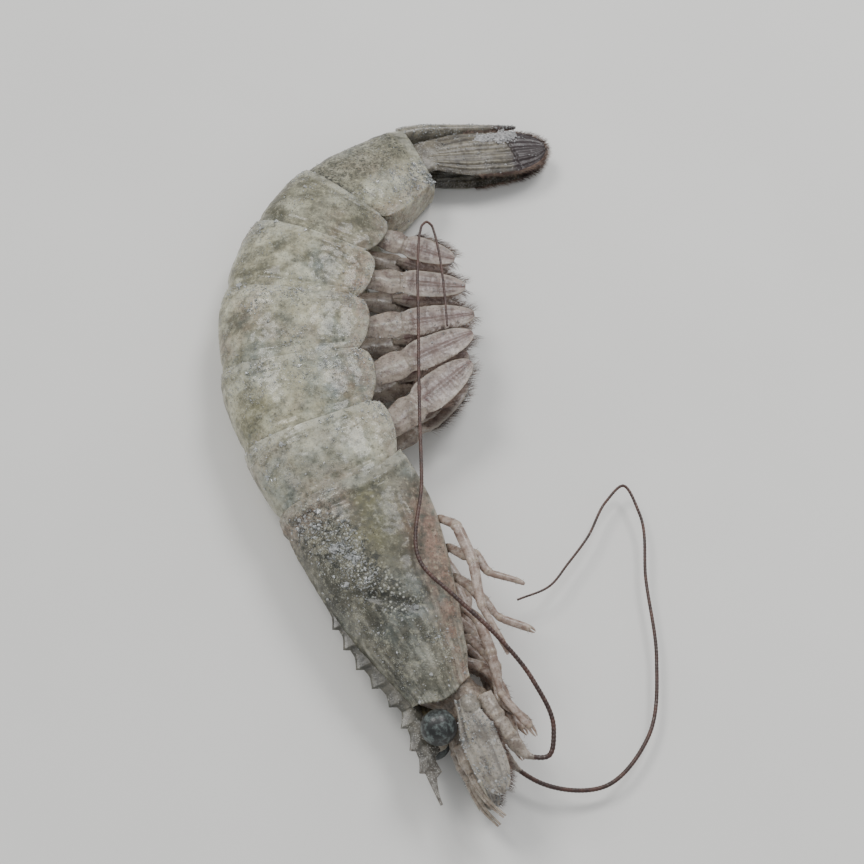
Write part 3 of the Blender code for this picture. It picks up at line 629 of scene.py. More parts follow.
def outline(front, rear, f, size, lobe, x, y):
    """Heights and breadths of one ring of a shell piece, and the s of its middle."""
    s = float(front(MID)) * (1 - f) + float(rear(MID)) * f
    rise = (float(back(s)) - MID) * size
    rounding = 1.0 - math.sin(math.pi * min(max(f, 0.0), 1.0)) ** 0.55
    drop = (float(belly(s)) + MID) * size - lobe * rounding
    return s, MID + np.where(y > 0, rise, drop) * y, x * (float(half_width(s)) * size)


def shell_grid(front, rear, fs, sizes, lobes, half, inner, deeper=0.0, bulge=None):
    """Rings of a shell piece.  Returns points, and y (1 back .. -1 flap), side and f of each."""
    x, y = both_sides(np.linspace(1, 0, half + 1))
    arc = math.pi * np.linspace(0, 1, inner + 1)[1:-1]
    rows = []
    for f, size, lobe in zip(fs, sizes, lobes):
        s, v, u = outline(front, rear, f, size, lobe, x, y)
        hollow = float(roof(s)) + deeper * np.sin(math.pi * min(max(f, 0.0), 1.0))
        inside = hollow if bulge is None else v[-1] - bulge
        v = np.concatenate([v, v[-1] + (inside - v[-1]) * np.sin(arc) ** 0.55])
        u = np.concatenate([u, u[-1] * np.cos(arc)])
        rows.append(body(front(v) * (1 - f) + rear(v) * f, v, u))
    p = np.array(rows)
    y = np.concatenate([y, np.full(len(arc), LINING)])
    x = np.concatenate([x, np.zeros(len(arc))])
    return [p] + [np.broadcast_to(a, p.shape[:2]) for a in (y, x, fs[:, None])]


def solid_corner():
    """Lowest corner of the third segment as the solid has it, which gives the common origin."""
    x, y = half_profile(np.concatenate([np.arange(8) / 7 * WIDEST, WIDEST + np.arange(1, 6) / 5 * FLAP]))
    x, y = np.concatenate([-x[::-1], x[1:]]), np.concatenate([y[::-1], y[1:]])
    front, rear = seam(2, GAP / 2), seam(3, -GAP / 2)
    pts = []
    for f, size in zip(SEGMENT_F[:7], SEGMENT_SIZE[:6] + SEGMENT_SIZE[7:]):
        _, v, u = outline(front, rear, f, size, PLEURA_LOBE, x, y)
        pts.append(body(front(v) * (1 - f) + rear(v) * f, v, u))
    return np.concatenate(pts).min(axis=0)


def end_bands(rows, half, inner):
    """Faces that close both ends between the outer line and the lining."""
    n = 2 * half + inner
    faces = []
    for base in (0, (rows - 1) * n):
        lining = [base] + [base + n - i for i in range(1, inner)] + [base + 2 * half]
        for j in range(2 * half):
            a, b = int(j * inner / (2 * half)), int((j + 1) * inner / (2 * half))
            face = tuple(dict.fromkeys((base + j, base + j + 1, lining[b], lining[a])))
            if len(face) > 2:
                faces.append(face)
    return faces


def shell_piece(name, node, material, p, y, relief, half, inner, attrs, closed=False):
    """Raise the relief on the outer side, keep what is pressed flat, and make the piece."""
    outer = np.where((y > LINING) | closed, 1.0, 0.0)
    q = grounded(pushed(p, relief * outer)[0])
    pressed = p[..., 2] - SHIFT[2] < 0.3
    q[pressed] = p[pressed]
    n = normals(q)
    lining = {"paler_and_painted_highlight": 0.5, "warm": 0.45}
    values = {k: (v * outer + lining.get(k, 0.0) * (1 - outer)).reshape(-1) for k, v in attrs.items()}
    b = Build()
    b.add(q.reshape(-1, 3), grid_faces(*q.shape[:2]) + end_bands(len(q), half, inner), **values)
    b.done(name, material, node)
    keep = outer > 0
    SURFACES.append((q[keep], n[keep], (attrs["frost"] + 0.45 * attrs["coarse"])[keep]))


def frost_field(p, n, extra):
    """Rime settles on what faces up, in clouds."""
    up = ease((n[..., 2] + 0.15) / 0.9)
    cloud = fbm(p, 9.0, 21, 4) * 0.5 + fbm(p, 2.6, 31, 3) * 0.32
    return unit(0.30 + 0.42 * cloud + extra) * (0.25 + 0.75 * up)


def build_segment(i, mat):
    half, inner, last = 104, 40, i == 5
    front, rear = seam(i, GAP / 2), seam(i + 1, -GAP / 2, TAIL_SWEEP if last else 1.0)
    # the rings run a little past the rear seam and end in a rolled edge
    rows, over = (74, 0.05) if last else (56, 0.055)
    fs = np.concatenate([np.linspace(0, 0.94, rows), np.linspace(0.95, 1.0 + over, 12)])
    sizes = curve(SEGMENT_F, SEGMENT_SIZE, fs)
    sizes = np.concatenate([sizes, sizes[-1] - np.array((0.012, 0.026, 0.045))])
    fs = np.concatenate([fs, fs[-1] + np.array((0.004, -0.02, -0.05))])
    lobes = PLEURA_LOBE * ((1 - unit(fs)) if last else np.ones(len(fs)))
    p, y, x, f = shell_grid(front, rear, fs, sizes, lobes, half, inner, bulge=0.7 if last else None)
    n = normals(p)
    below, ridge = y <= LINING, bell(x, 0.0, 0.05) * (y > 0)
    relief = 0.15 * fbm(p, 4.2, 3) + 0.060 * fbm(p, 1.1, 9, 3)
    # groove behind the front edge, raised rear rim
    relief -= 0.16 * bell(f, 0.17, 0.035) * (1 - ease((-0.55 - y) / 0.25))
    relief += 0.07 * bell(f, 0.955, 0.03) - 0.07 * bell(f, 0.90, 0.03)
    # hinge knobs at both ends, hollow above the flap, flap's edge
    relief += 0.16 * bell(f, 0.985, 0.05) * bell(y, -0.42, 0.12)
    relief += 0.13 * bell(f, 0.03, 0.05) * bell(y, -0.45, 0.1)
    relief -= 0.16 * bell(y, -0.62, 0.10) * bell(f, 0.5, 0.32) * (not last)
    relief += 0.08 * bell(y, -0.93, 0.06)
    if i >= 3:      # keel of the last three
        relief += 0.28 * bell(x, 0.0, 0.09) * ease(f / 0.3) * (y > 0)
    upper = last * ease((y + 0.2) / 0.4)
    icy = 0.08 * bell(f, 0.9, 0.2) + 0.06 * (i == 1) - 0.10 * (i == 4) - 0.20 * upper
    # the extra rime on the belly half of the last segment is partly a painted highlight
    icy = icy + 0.22 * bell(y, -1.0, 0.22) + 0.26 * last * bell(y, -0.5, 0.35) * bell(f, 0.6, 0.4)
    blue = 0.5 * bell(y, -0.35, 0.35) * (0.3 + (i in (1, 2)))
    # paler values: the first segment all over, and a painted highlight on the belly half of the last segment
    paler_and_painted_highlight = 0.28 * (i == 0) + 0.4 * last * bell(y, -0.5, 0.3) * bell(f, 0.6, 0.35)
    shade = 0.36 * (i == 4) + 0.62 * upper + 0.70 * bell(f, 0.0, 0.05) + 0.18 * bell(f, 0.90, 0.025)
    attrs = {
        "frost": frost_field(p, n, icy),
        "olive": np.clip(0.5 * fbm(p, 8.0, 41) + 0.12 * (i < 2), 0, 0.6),
        "teal": np.clip(fbm(p, 10.0, 51) * 0.9 + blue, 0, 0.85) * ease(n[..., 2] * 1.5 + 0.2),
        "warm": 0.7 * bell(y, -1.0, 0.28) + np.clip(0.5 * fbm(p, 8.0, 97), 0, 0.4),
        "shade": shade + 0.30 * ridge,
        "paler_and_painted_highlight": paler_and_painted_highlight + 0.42 * ease((f - 0.93) / 0.05) + 0.6 * bell(y, -1.0, 0.10),
        "coarse": 0.20 * ease((y - 0.3) / 0.4) + 0.10 * bell(f, 0.9, 0.2),
    }
    if last:
        attrs["warm"] = np.maximum(attrs["warm"], 0.5 * below)
        attrs["frost"] = np.maximum(attrs["frost"], 0.4 * below)
        relief = np.where(below, 0.12 * fbm(p, 1.6, 87), relief)
    name = "abdomen_%d" % (i + 1)
    shell_piece(name + "_shell", name, mat, p, y, relief, half, inner, attrs, last)


def build_carapace(mat):
    half, inner = 120, 44

    def front(v):
        v = np.asarray(v, float)
        notch = 2.2 * np.exp(-((v - 0.8) / 4.2) ** 2)
        return 0.0022 * np.maximum(0.0, -v) ** 3 + 0.08 * np.maximum(0.0, v) - notch
    fs = np.concatenate([[0.075, 0.05, 0.02, 0.004], np.linspace(0, 0.10, 22),
                         np.linspace(0.105, 0.94, 130), np.linspace(0.945, 1.024, 16)])
    sizes = 0.90 + 0.10 * ease(fs / 0.10) - 0.006 * ease((fs - 0.95) / 0.06)
    sizes[:5] = (0.80, 0.83, 0.85, 0.875, 0.895)
    sizes = np.concatenate([sizes, sizes[-1] - np.array((0.012, 0.026))])
    fs = np.concatenate([fs, fs[-1] + np.array((0.002, -0.01))])
    p, y, x, f = shell_grid(front, seam(0, -GAP / 2), fs, sizes, np.full(len(fs), 0.9), half, inner, 0.6)
    relief = 0.16 * fbm(p, 4.6, 5) + 0.065 * fbm(p, 1.2, 8, 3)
    # neck groove, curving down and forward, and the groove above the gill chamber
    neck, flank = 0.40 + 0.16 * y, ease((y + 0.35) / 0.2) * ease((0.80 - y) / 0.2)
    relief -= 0.50 * bell(f, neck, 0.030) * flank
    relief += 0.18 * bell(f, neck + 0.07, 0.05) * flank
    relief -= 0.28 * bell(y, -0.30 - 0.25 * f, 0.05) * ease((f - 0.10) / 0.12) * ease((0.9 - f) / 0.2)
    # spine on the cheek, hollow behind the eye, ridge below it
    relief += 0.24 * bell(f, 0.30, 0.035) * bell(y, -0.02, 0.06)
    relief -= 0.30 * bell(y, 0.10, 0.09) * bell(f, 0.13, 0.09)
    relief += 0.22 * bell(y, -0.12, 0.04) * ease((0.22 - f) / 0.2)
    # rear rim, lower rim, ridge along the back
    relief += 0.22 * bell(f, 0.975, 0.02) - 0.18 * bell(f, 0.935, 0.018)
    relief += 0.12 * bell(y, -0.95, 0.06)
    relief += 0.22 * bell(x, 0.0, 0.05) * (y > 0) * ease((f - 0.5) / 0.1)
    # colours: an olive saddle on the rear flank, clear of rime, and a trail of coarse crystals above it
    dorsal = ease((y - 0.05) / 0.5)
    clear = 0.5 * bell(y, -0.05, 0.30) * bell(f, 0.80, 0.14)
    icy = 0.10 * dorsal * ease((f - 0.25) / 0.2) + 0.06 * bell(f, 0.97, 0.05) - clear - 0.05
    lobes = bell(f, 0.80, 0.12) + bell(f, 0.46, 0.10) + 0.4 * bell(f, 0.62, 0.12)
    trail = lobes * bell(y, 0.20 + 0.95 * (f - 0.42), 0.26)
    streak = fbm(np.stack([f * 5.6, y * 14.0, x * 12.0], axis=-1), 1.0, 83, 3) * ease((0.5 - f) / 0.35)
    saddle = 1.2 * bell(f, 0.82, 0.17) * bell(y, -0.05, 0.42)
    warm = 0.9 * bell(y, -0.75, 0.38) * ease((0.95 - f) / 0.3) + 0.5 * bell(f, 0.95, 0.1) * ease(y / 0.3)
    shade = (0.35 * dorsal * bell(f, 0.45, 0.34) + 0.45 * trail) * (0.8 + fbm(p, 3.0, 81))
    shade = shade + 0.30 * bell(f, 0.66, 0.13) * bell(y, -0.12, 0.28)
    shade = shade + 0.36 * bell(f, 0.83, 0.09) * bell(y, -0.02, 0.26) + 0.10 * ease((0.22 - f) / 0.22)
    paler_and_painted_highlight = 0.35 * ease((f - 0.955) / 0.03) + 0.4 * bell(y, -1.0, 0.06) + 0.22 * bell(f, 0.0, 0.03)
    coarse = trail * (1.1 + 0.6 * fbm(p, 3.0, 85)) + 0.12 + 0.14 * dorsal
    attrs = {
        "frost": frost_field(p, normals(p), icy),
        "olive": unit(saddle + 0.35 * fbm(p, 7.0, 61)),
        "teal": np.clip(0.6 * fbm(p, 9.0, 71) + 0.3 * bell(f, 0.25, 0.2) * bell(y, 0.3, 0.3), 0, 0.6),
        "warm": unit(warm),
        "shade": np.clip(shade + 0.6 * streak + 0.4 * bell(f, neck, 0.03) * (y > -0.2), 0, 0.85),
        "paler_and_painted_highlight": unit(paler_and_painted_highlight - 0.5 * streak),
        "coarse": unit(coarse - 0.5 * bell(f, 0.82, 0.12) * bell(y, -0.1, 0.28)),
    }
    shell_piece("carapace_shell", "carapace", mat, p, y, relief, half, inner, attrs)


def tooth(d, slope, front, power=1.0):
    """Height, 0 to 1, of a tooth that points forward, at distance d behind its tip."""
    return np.where(d >= 0, np.maximum(0, 1 - d / slope) ** power, np.maximum(0, 1 + d / front))


def build_rostrum(mat):
    """Toothed blade on the midline, thick at its ribs and thin at its edges."""
    s = np.linspace(24.0, ROSTRUM_TIP, 420)
    top = crest(s) + 0.04
    for i in range(8):
        height = 1.25 - 0.07 * abs(i - 3)
        top = np.maximum(top, crest(s) + height * tooth(s - (18.0 - 4.1 * i), 2.4, 0.55, 1.3))
    tip_v = float(crest(ROSTRUM_TIP)) - 0.35
    keel = tip_v - 0.10 - 3.5 * ease((s - ROSTRUM_TIP) / 12.5)
    low = np.where(s > 0, np.minimum(back(s) - 1.0, top - 1.0), keel)
    low = np.where((s > 0) & (s < 4), np.minimum(low, tip_v - 3.4 + 0.9 * s), low)
    for t in (ROSTRUM_TIP + 5.0, ROSTRUM_TIP + 8.4):
        low = np.minimum(low, keel - tooth(s - t, 2.0, 0.6))
    top = np.maximum(top, low + 0.25)
    w = circle(28)
    cv, cu = np.sin(w), np.cos(w)
    thick = np.where(s > 0, 0.85, 0.24 + 0.42 * ease((s - ROSTRUM_TIP) / 17.0))
    u = thick[:, None] * np.sign(cu) * np.abs(cu) ** 0.8 * (0.55 + 0.45 * bell(cv, -0.2, 0.7))[None, :]
    p = body(s[:, None], (0.5 * (top + low))[:, None] + (0.5 * (top - low))[:, None] * cv[None, :], u)
    forward = unit(-s / 17.0)[:, None]
    one_strip("rostrum_blade", "carapace", mat, p, vein=0.35 * bell(cv, 0.3, 0.16)[None, :],
              tip=0.30 + 0.40 * forward, frost=0.35 + 0.35 * forward)


# ------------------------------------------------------------------- thin blades
def blade_half(d, width, base, tip, waist=0.0):
    """Half breadth of a leaf at fraction d of its length; waist narrows it where a stem ends."""
    round_off = np.sqrt(np.maximum(0.0, 1 - np.maximum(0.0, (d - tip) / (1.002 - tip)) ** 2.2))
    narrow = 1.0 - waist * bell(d, 0.42, 0.06)
    return np.maximum(0.5 * width * (base + (1 - base) * ease(d / 0.42)) * round_off * narrow, 0.16)


def blade_rings(length, width, thick, place, base, tip, rows, n, relief, margin=0.45, waist=0.0):
    """Rings of a leaf of lens section, with its ribs raised on both faces."""
    d = (0.004 + 0.992 * np.linspace(0, 1, rows))[:, None]
    w = circle(n)[None, :]
    c = np.cos(w)
    face = np.sign(np.sin(w)) * np.abs(np.sin(w)) ** 0.85
    swell = margin + (1 - margin) * np.sqrt(np.maximum(0.0, 1 - c * c))
    t = 0.5 * thick * (1.0 - 0.55 * d) * face * swell + relief(d, c) * face
    return place(d * length, blade_half(d, width, base, tip, waist) * c, t), d + 0 * c, c + 0 * d


def fringe(place, at, across, ahead, beyond, shortest, spread, radius):
    """Row of hairs on a blade, from (at, across) towards (at + ahead, beyond)."""
    root = place(at, across, 0 * at)
    way = place(at + ahead, beyond, 0 * at) - root
    HAIRS.append((root, way, shortest + spread * RNG.random(len(at)), radius))


def bristles(path, r, count, length):
    """Hairs scattered round a limb, leaning towards its tip."""
    i = RNG.integers(2, len(path) - 2, count)
    t, e, c = frames(path)
    w = RNG.uniform(0, 2 * math.pi, count)
    out = np.cos(w)[:, None] * e[i] + np.sin(w)[:, None] * c[i]
    root = path[i] + out * (r[i] * 0.85)[:, None]
    HAIRS.append((root, out + 0.9 * t[i], length * (0.5 + 0.7 * RNG.random(count)), 0.035))


def tail_blade(side, outer):
    """Where a point of a tail blade lies: d along it, c across it and t through it."""
    u0, v0 = (4.0, -1.7) if outer else (2.65, 0.9)
    v0 += (0.8 if outer else 0.5) * (side < 0)
    bow, curl = (1.1, 1.0) if outer else (-0.4, 0.8)

    def place(d, c, t):
        v = v0 + c + bow * (d / UROPOD_LENGTH) ** 2
        u = side * (u0 - 0.0135 * c * c * curl + t - 0.075 * d)
        return body(TAIL_ROOT + 0.4 + d, v, u)
    return place


def build_telson(mat):
    """Long spike with a groove down the middle of its back."""
    length = TELSON_TIP - TAIL_ROOT
    d, w = np.linspace(0, 1, 150)[:, None], circle(56)[None, :]
    c, t = np.cos(w), np.sin(w)
    half = 2.5 * (1 - d) ** 0.75 + 0.20
    thick = 1.75 * (1 - d) ** 0.7 + 0.16
    top = ease((t - 0.1) / 0.5)
    cut = -0.34 * bell(c, 0.0, 0.22) * (1 - d) ** 0.5 + 0.16 * bell(np.abs(c), 0.45, 0.16)
    lift = 0.30 * (1 - (half * c / 3.2) ** 2)
    p = body(TAIL_ROOT + d * length, 6.6 - 0.03 * d * length + lift + thick * t + top * cut, half * c)
    one_strip("telson_spike", "telson", mat, p, vein=0.5 * bell(np.abs(c), 0.45, 0.15) * top,
              tip=0.9 * ease((d - 0.55) / 0.4), frost=0.55 * top * (1 - 0.4 * d) + 0.12 * fbm(p, 3.0, 13))
    catches_ice(p, normals(p), 0.5)


def tail_base(side):
    """Short thick plate that carries the two blades of one side."""
    d, w = np.linspace(0, 1, 40)[:, None], circle(48)[None, :]
    rounded = np.sqrt(unit(1 - np.abs(2 * d - 1) ** 3.2))
    v = -1.4 + (3.5 * rounded + 0.05) * np.cos(w) + 0.5 * d
    u = 3.9 + 0.72 * rounded * np.sin(w) - 0.35 * d
    p = body(TAIL_ROOT - 0.55 + 6.3 * d + 0.7 * np.cos(w) * d, v, side * u)
    return grounded(p + 0.06 * fbm(p, 1.5, 19)[..., None])


def build_uropod(side, word, outer, mat):
    place, base, tip = tail_blade(side, outer), 0.55, 0.66
    width, length = (9.4, UROPOD_LENGTH) if outer else (8.0, UROPOD_LENGTH - 1.4)
    ribs = (-0.78, -0.50, -0.22, 0.06, 0.36, 0.66) if outer else (-0.6, -0.2, 0.2, 0.6)

    def relief(d, c):
        fan = sum(bell(c, x * (0.80 + 0.2 * d), 0.055 + 0.01 * k) * (0.8 + 0.5 * (k % 2))
                  for k, x in enumerate(ribs))
        grow = ease(d / 0.12) * (1 - 0.55 * ease((d - 0.72) / 0.25))
        out = 0.26 * fan * grow + 0.16 * bell(c, 0.92, 0.07) * grow
        if outer:      # the joint that runs across the outer blade
            out = out - 0.22 * bell(d + 0.05 * c, 0.735, 0.012) + 0.12 * bell(d + 0.05 * c, 0.715, 0.012)
        return out
    p, d, c = blade_rings(length, width, 0.95, place, base, tip, 150, 84, relief)
    p, n = pushed(p, 0.10 * fbm(p, 3.2, 15 + outer))
    p = grounded(p)
    raised, right = relief(d, c) * 3.4, side < 0
    # the right blades lie in shadow under the left ones; painted light makes them paler: less shade between
    # the ribs, more rime and a shorter dark tip
    shade = np.clip(0.45 - raised, 0, 0.36) * (0.4 if right else 1.0)
    icy = 0.30 + 0.22 * right + 0.3 * fbm(p, 3.0, 17) - 0.30 * ease((d - 0.66) / 0.2)
    b = Build()
    b.grid(p, vein=unit(raised) * 0.6, shade=shade, frost=unit(icy),
           tip=ease((d - 0.58 - 0.10 * right) / 0.24))
    if outer:
        b.grid(tail_base(side), frost=0.45, vein=0.2)
    name = "uropod_%s_%s" % (word, "outer" if outer else "inner")
    b.done(name + "_blade", mat, name)
    catches_ice(p, n, 0.35)
    # fringe along both edges, on the stiff outer edge only past the joint, and round the tip
    for edge in (1.0, -1.0):
        k = np.linspace(0.42, 0.995, 330)
        if outer and edge > 0:
            k = k[k > 0.74]
        hw = blade_half(k, width, base, tip) * 0.97
        fringe(place, k * length, edge * hw, 0.9, edge * (hw + 0.5 + 0.4 * (1 - k)), 1.0, 0.9, 0.045)
    k = np.linspace(-0.98, 0.98, 130)
    reach = 1.0 - 0.012 - 0.10 * np.abs(k) ** 6
    hw = blade_half(reach, width, base, tip)
    fringe(place, reach * length, hw * k, 1.0, hw * k * 1.12, 1.1, 1.0, 0.045)


# ------------------------------------------------------------------------- head
def around(centre, axis, prof, n):
    """Turned form about an axis in body coordinates; prof gives (along, radius)."""
    centre, axis = np.asarray(centre, float), np.asarray(axis, float)
    axis = axis / np.linalg.norm(axis)
    e1 = np.cross(axis, (0.0, 1.0, 0.0))
    e1 /= np.linalg.norm(e1)
    e2 = np.cross(axis, e1)
    w = circle(n)[:, None]
    rings = []
    for d, r in prof:
        q = centre + axis * d + r * (np.cos(w) * e1 + np.sin(w) * e2)
        rings.append(body(q[:, 0], q[:, 1], q[:, 2]))
    return np.array(rings)


def profile(points, count):
    """Smooth profile through the given (along, radius) points, evenly spaced."""
    return along([(a, b, 0.0) for a, b in points], count)[:, :2]


def build_mouth(mat):
    """Mandibles and lips as a lumpy block with folds, rooted inside the carapace."""
    d = np.linspace(-6.0, 3.9, 110)
    k = curve((-6.0, -3.0, 0.0, 1.3, 2.7, 3.9), (0.97, 1.0, 1.0, 1.0, 0.86, 0.55), d)[:, None]
    deep = ease(-d / 4.0)[:, None]
    w = circle(120)[None, :]
    tall, wide, mid = 4.2 + 1.0 * deep, 4.3 + 0.5 * deep, -3.3 + 2.6 * deep
    p = body(-2.8 - d[:, None], mid + tall * k * np.sin(w), wide * k * np.cos(w))
    fold = 0.30 * fbm(p, 2.4, 23) + 0.24 * np.abs(np.sin(3.5 * w)) * bell(d, 1.4, 2.4)[:, None] - 0.15
    p = grounded(pushed(p, np.minimum(fold, 0.3))[0])
    one_strip("mouth_block", "head_base", mat, p, joint=np.clip(fold, 0, 0.4))


def build_eye(side, word, stalk_mat, eye_mat):
    """Short stalk with the black cornea as its cap."""
    centre, axis = (-6.0, 3.6, side * 4.9), (-0.45, 0.05, side * 0.89)
    stalk = ((-4.0, 0.9), (-3.2, 1.25), (-2.6, 1.7), (-2.1, 2.25), (-1.2, 2.62), (-0.2, 2.66))
    q = around(centre, axis, profile([(d, r * EYE_SIZE) for d, r in stalk], 46), 72)
    ridge = 0.5 * bell(np.linspace(0, 1, 46), 0.62, 0.05)[:, None]
    q = pushed(q, 0.10 * fbm(q, 1.4, 27))[0]
    one_strip("eye_%s_stalk" % word, "eye_" + word, stalk_mat, q, joint=ridge)
    ball = ((-0.75, 2.66), (-0.3, 2.84), (0.4, 2.86), (1.5, 2.42), (2.35, 1.5), (2.8, 0.55))
    q = around(centre, axis, profile([(d, r * EYE_SIZE) for d, r in ball] + [(2.88, 0.05)], 56), 88)
    one_strip("eye_%s_cornea" % word, "eye_" + word, eye_mat, pushed(q, 0.05 * fbm(q, 1.8, 29))[0])


def build_scale(side, word, mat):
    """Flat leaf beside the head, with a spine at its outer corner and the knob that carries it."""
    base, tip = 0.5, 0.6

    def place(d, c, t):
        return body(-3.4 - d, -1.9 + c * 0.92 + 0.045 * d, side * (6.3 + t - 0.16 * c - 0.05 * d))

    def relief(d, c):
        ribs = 0.20 * bell(c, 0.55, 0.10) + 0.12 * bell(c, 0.1, 0.08) + 0.10 * bell(c, -0.35, 0.08)
        return ribs * ease(d / 0.1) + 0.20 * bell(c, 0.93, 0.08)
    p, d, c = blade_rings(SCALE_LENGTH, SCALE_WIDTH, 1.0, place, base, tip, 120, 72, relief, 0.35)
    p, n = pushed(p, 0.05 * fbm(p, 2.6, 33))
    streak = fbm(np.stack([d * 3.0, c * 9.0, 0 * c + side], axis=-1), 1.0, 89, 3)
    b = Build()
    b.grid(p, vein=unit(relief(d, c) * 3.0 + 0.5 * streak), shade=np.clip(-0.75 * streak, 0, 0.55),
           tip=0.3 * ease((d - 0.8) / 0.2), edge=0.4 * bell(c, 0.95, 0.1),
           frost=unit(0.26 + 0.4 * fbm(p, 3.0, 35)))
    spine = [place(SCALE_LENGTH * x, 3.1 * (1 - 0.12 * x), 0.0) for x in (0.80, 0.88, 0.96)]
    b.grid(tube_rings(along(spine, 14), np.linspace(0.34, 0.05, 14), 12), vein=0.8)
    knob = profile([(-1.6, 0.7), (-0.9, 1.7), (0.4, 1.95), (1.6, 1.5), (2.4, 0.5)], 30)
    knob = around((-4.6, -2.6, side * 5.3), (-1.0, 0.1, side * 0.2), knob, 40)
    b.grid(knob + 0.10 * fbm(knob, 1.5, 37)[..., None], frost=0.3, vein=0.15)
    b.done("antennal_scale_%s_plate" % word, mat, "antennal_scale_" + word)
    catches_ice(p, n, 0.5)
    k = np.linspace(0.22, 0.985, 220)
    edge = -blade_half(k, SCALE_WIDTH, base, tip) * 0.97
    fringe(place, k * SCALE_LENGTH, edge, 0.8, edge - 0.8, 0.9, 0.6, 0.04)


def build_antennule(side, word, mat):
    """Short stem of three joints that ends in two ringed whips."""
    pts = ((-7.2, 0.4, 1.5), (-10.5, 1.1, 1.9), (-14.0, 1.5, 2.0), (-17.0, 1.6, 2.3), (-20.5, 1.0, 2.9),
           (-23.5, -0.2, 3.3))
    path = along([body(s, v, side * u) for s, v, u in pts], 160)
    t = np.linspace(0, 1, 160)
    r = curve(np.linspace(0, 1, 12), (1.25, 1.3, 1.2, 1.15, 0.95, 0.62, 0.5, 0.45, 0.42, 0.38, 0.34, 0.26), t)
    stem, whip = t < 0.46, t >= 0.42
    lumps = 1 + 0.14 * bell(t, 0.17, 0.02) + 0.16 * bell(t, 0.32, 0.02) + 0.12 * bell(t, 0.44, 0.015)
    b = Build()
    b.grid(tube_rings(path[stem], (r * lumps)[stem], 28), joint=(0.9 * (lumps - 1) / 0.14)[stem][:, None])
    f = (t[whip] - 0.42) / 0.58
    rings = 1 + 0.10 * np.cos(2 * math.pi * f * 26)
    for bend in (1.0, -1.0):
        off = np.stack([0.16 * bend + 0 * f, 0.10 * bend + 0 * f, 0.22 * bend * ease(f / 0.3)], axis=1)
        b.grid(tube_rings(path[whip] + off, (0.42 - 0.24 * f) * rings, 14), joint=0.3)
    b.done("antennule_%s_stem" % word, mat, "antennule_" + word)


def build_feeler(word, base, whip, knots, rows, mat, base_mat):
    """Thick jointed base, then a long ringed whip."""
    path = along([body(*q) for q in base] + [SHIFT + q for q in whip], rows)
    t = np.linspace(0, knots - 1, rows)
    r = np.interp(t, (0, 2, 3, 4, knots - 1), (1.5, 1.5, 1.2, 0.42, 0.20))
    stem, rest = t < 4.1, t >= 3.7
    ts = t[stem]
    raised, sunk = bell(ts, 1.2, 0.10) + bell(ts, 2.4, 0.10), bell(ts, 1.45, 0.08) + bell(ts, 2.65, 0.08)
    lumps = 1 + 0.10 * (raised - sunk)
    p = tube_rings(path[stem], r[stem] * lumps, 30)
    p = grounded(p + 0.07 * fbm(p, 1.2, 43)[..., None])
    one_strip("antenna_%s_base" % word, "antenna_" + word, base_mat, p, joint=unit((lumps - 1) * 8)[:, None])
    rings = 1 + 0.08 * np.cos(2 * math.pi * distances(path[rest]) / 0.62)
    p = tube_rings(path[rest], np.minimum(r[rest], 0.44) * rings, 12)
    one_strip("antenna_%s_whip" % word, "antenna_" + word, mat, p)


# ------------------------------------------------------------------------ limbs
def build_maxilliped(side, word, mat):
    """Slender limb of five links that reaches forward under the mouth."""
    pts = ((3.6, -6.0, 1.4), (0.6, -9.0, 1.15), (-3.0, -10.0, 1.1), (-8.0, -9.2, 1.1), (-12.0, -8.4, 1.2),
           (-15.5, -8.8, 1.4))
    path = along([body(s, v, side * u) for s, v, u in pts], 170)
    t = np.linspace(0, 1, 170)
    r = curve(np.linspace(0, 1, 12), (0.8, 0.92, 0.95, 0.95, 0.9, 0.95, 0.9, 0.85, 0.8, 0.7, 0.55, 0.28), t)
    knots = sum(bell(t, c, 0.012) for c in (0.16, 0.34, 0.55, 0.76))
    p = tube_rings(path, r * (1 + 0.14 * knots), 24, 0.8)
    one_strip("maxilliped_%s_limb" % word, "maxilliped_" + word, mat, p, joint=unit(knots)[:, None])
    bristles(path, r, 190, 1.0)


def limb_radius(at, corners, radii, cut=0.9):
    """Radius along a jointed limb: two values a corner, with a knuckle between them."""
    stops = [corners[0]] + [c + way for c in corners[1:-1] for way in (-cut, cut)] + [corners[-1]]
    knuckle = sum(bell(at, c, 0.38) for c in corners[1:-1])
    waist = sum(bell(at, c + 0.75, 0.22) for c in corners[1:-1])
    return np.interp(at, stops, radii) * (1 + 0.09 * knuckle - 0.08 * waist), knuckle


def leg_posture(k, side):
    """Depth below the flap edge at four fractions of the run of one leg."""
    if side > 0 and k == 2:
        return ((0.24, 3.6), (0.36, 5.6), (0.48, 10.6), (0.51, 11.4))
    if side > 0 and k == 3:
        return ((0.20, 3.8), (0.36, 5.2), (0.50, 10.2), (0.54, 11.2))
    tilt, lean = math.sin(2.3 * k + 0.9 * side), math.cos(1.7 * k - 0.6 * side)
    foot = 1.3 * lean
    return ((0.42, 3.3 + 0.8 * tilt), (0.70, 2.0 - 0.6 * tilt), (0.97, 3.5 + foot), (1.04, 3.7 + foot))


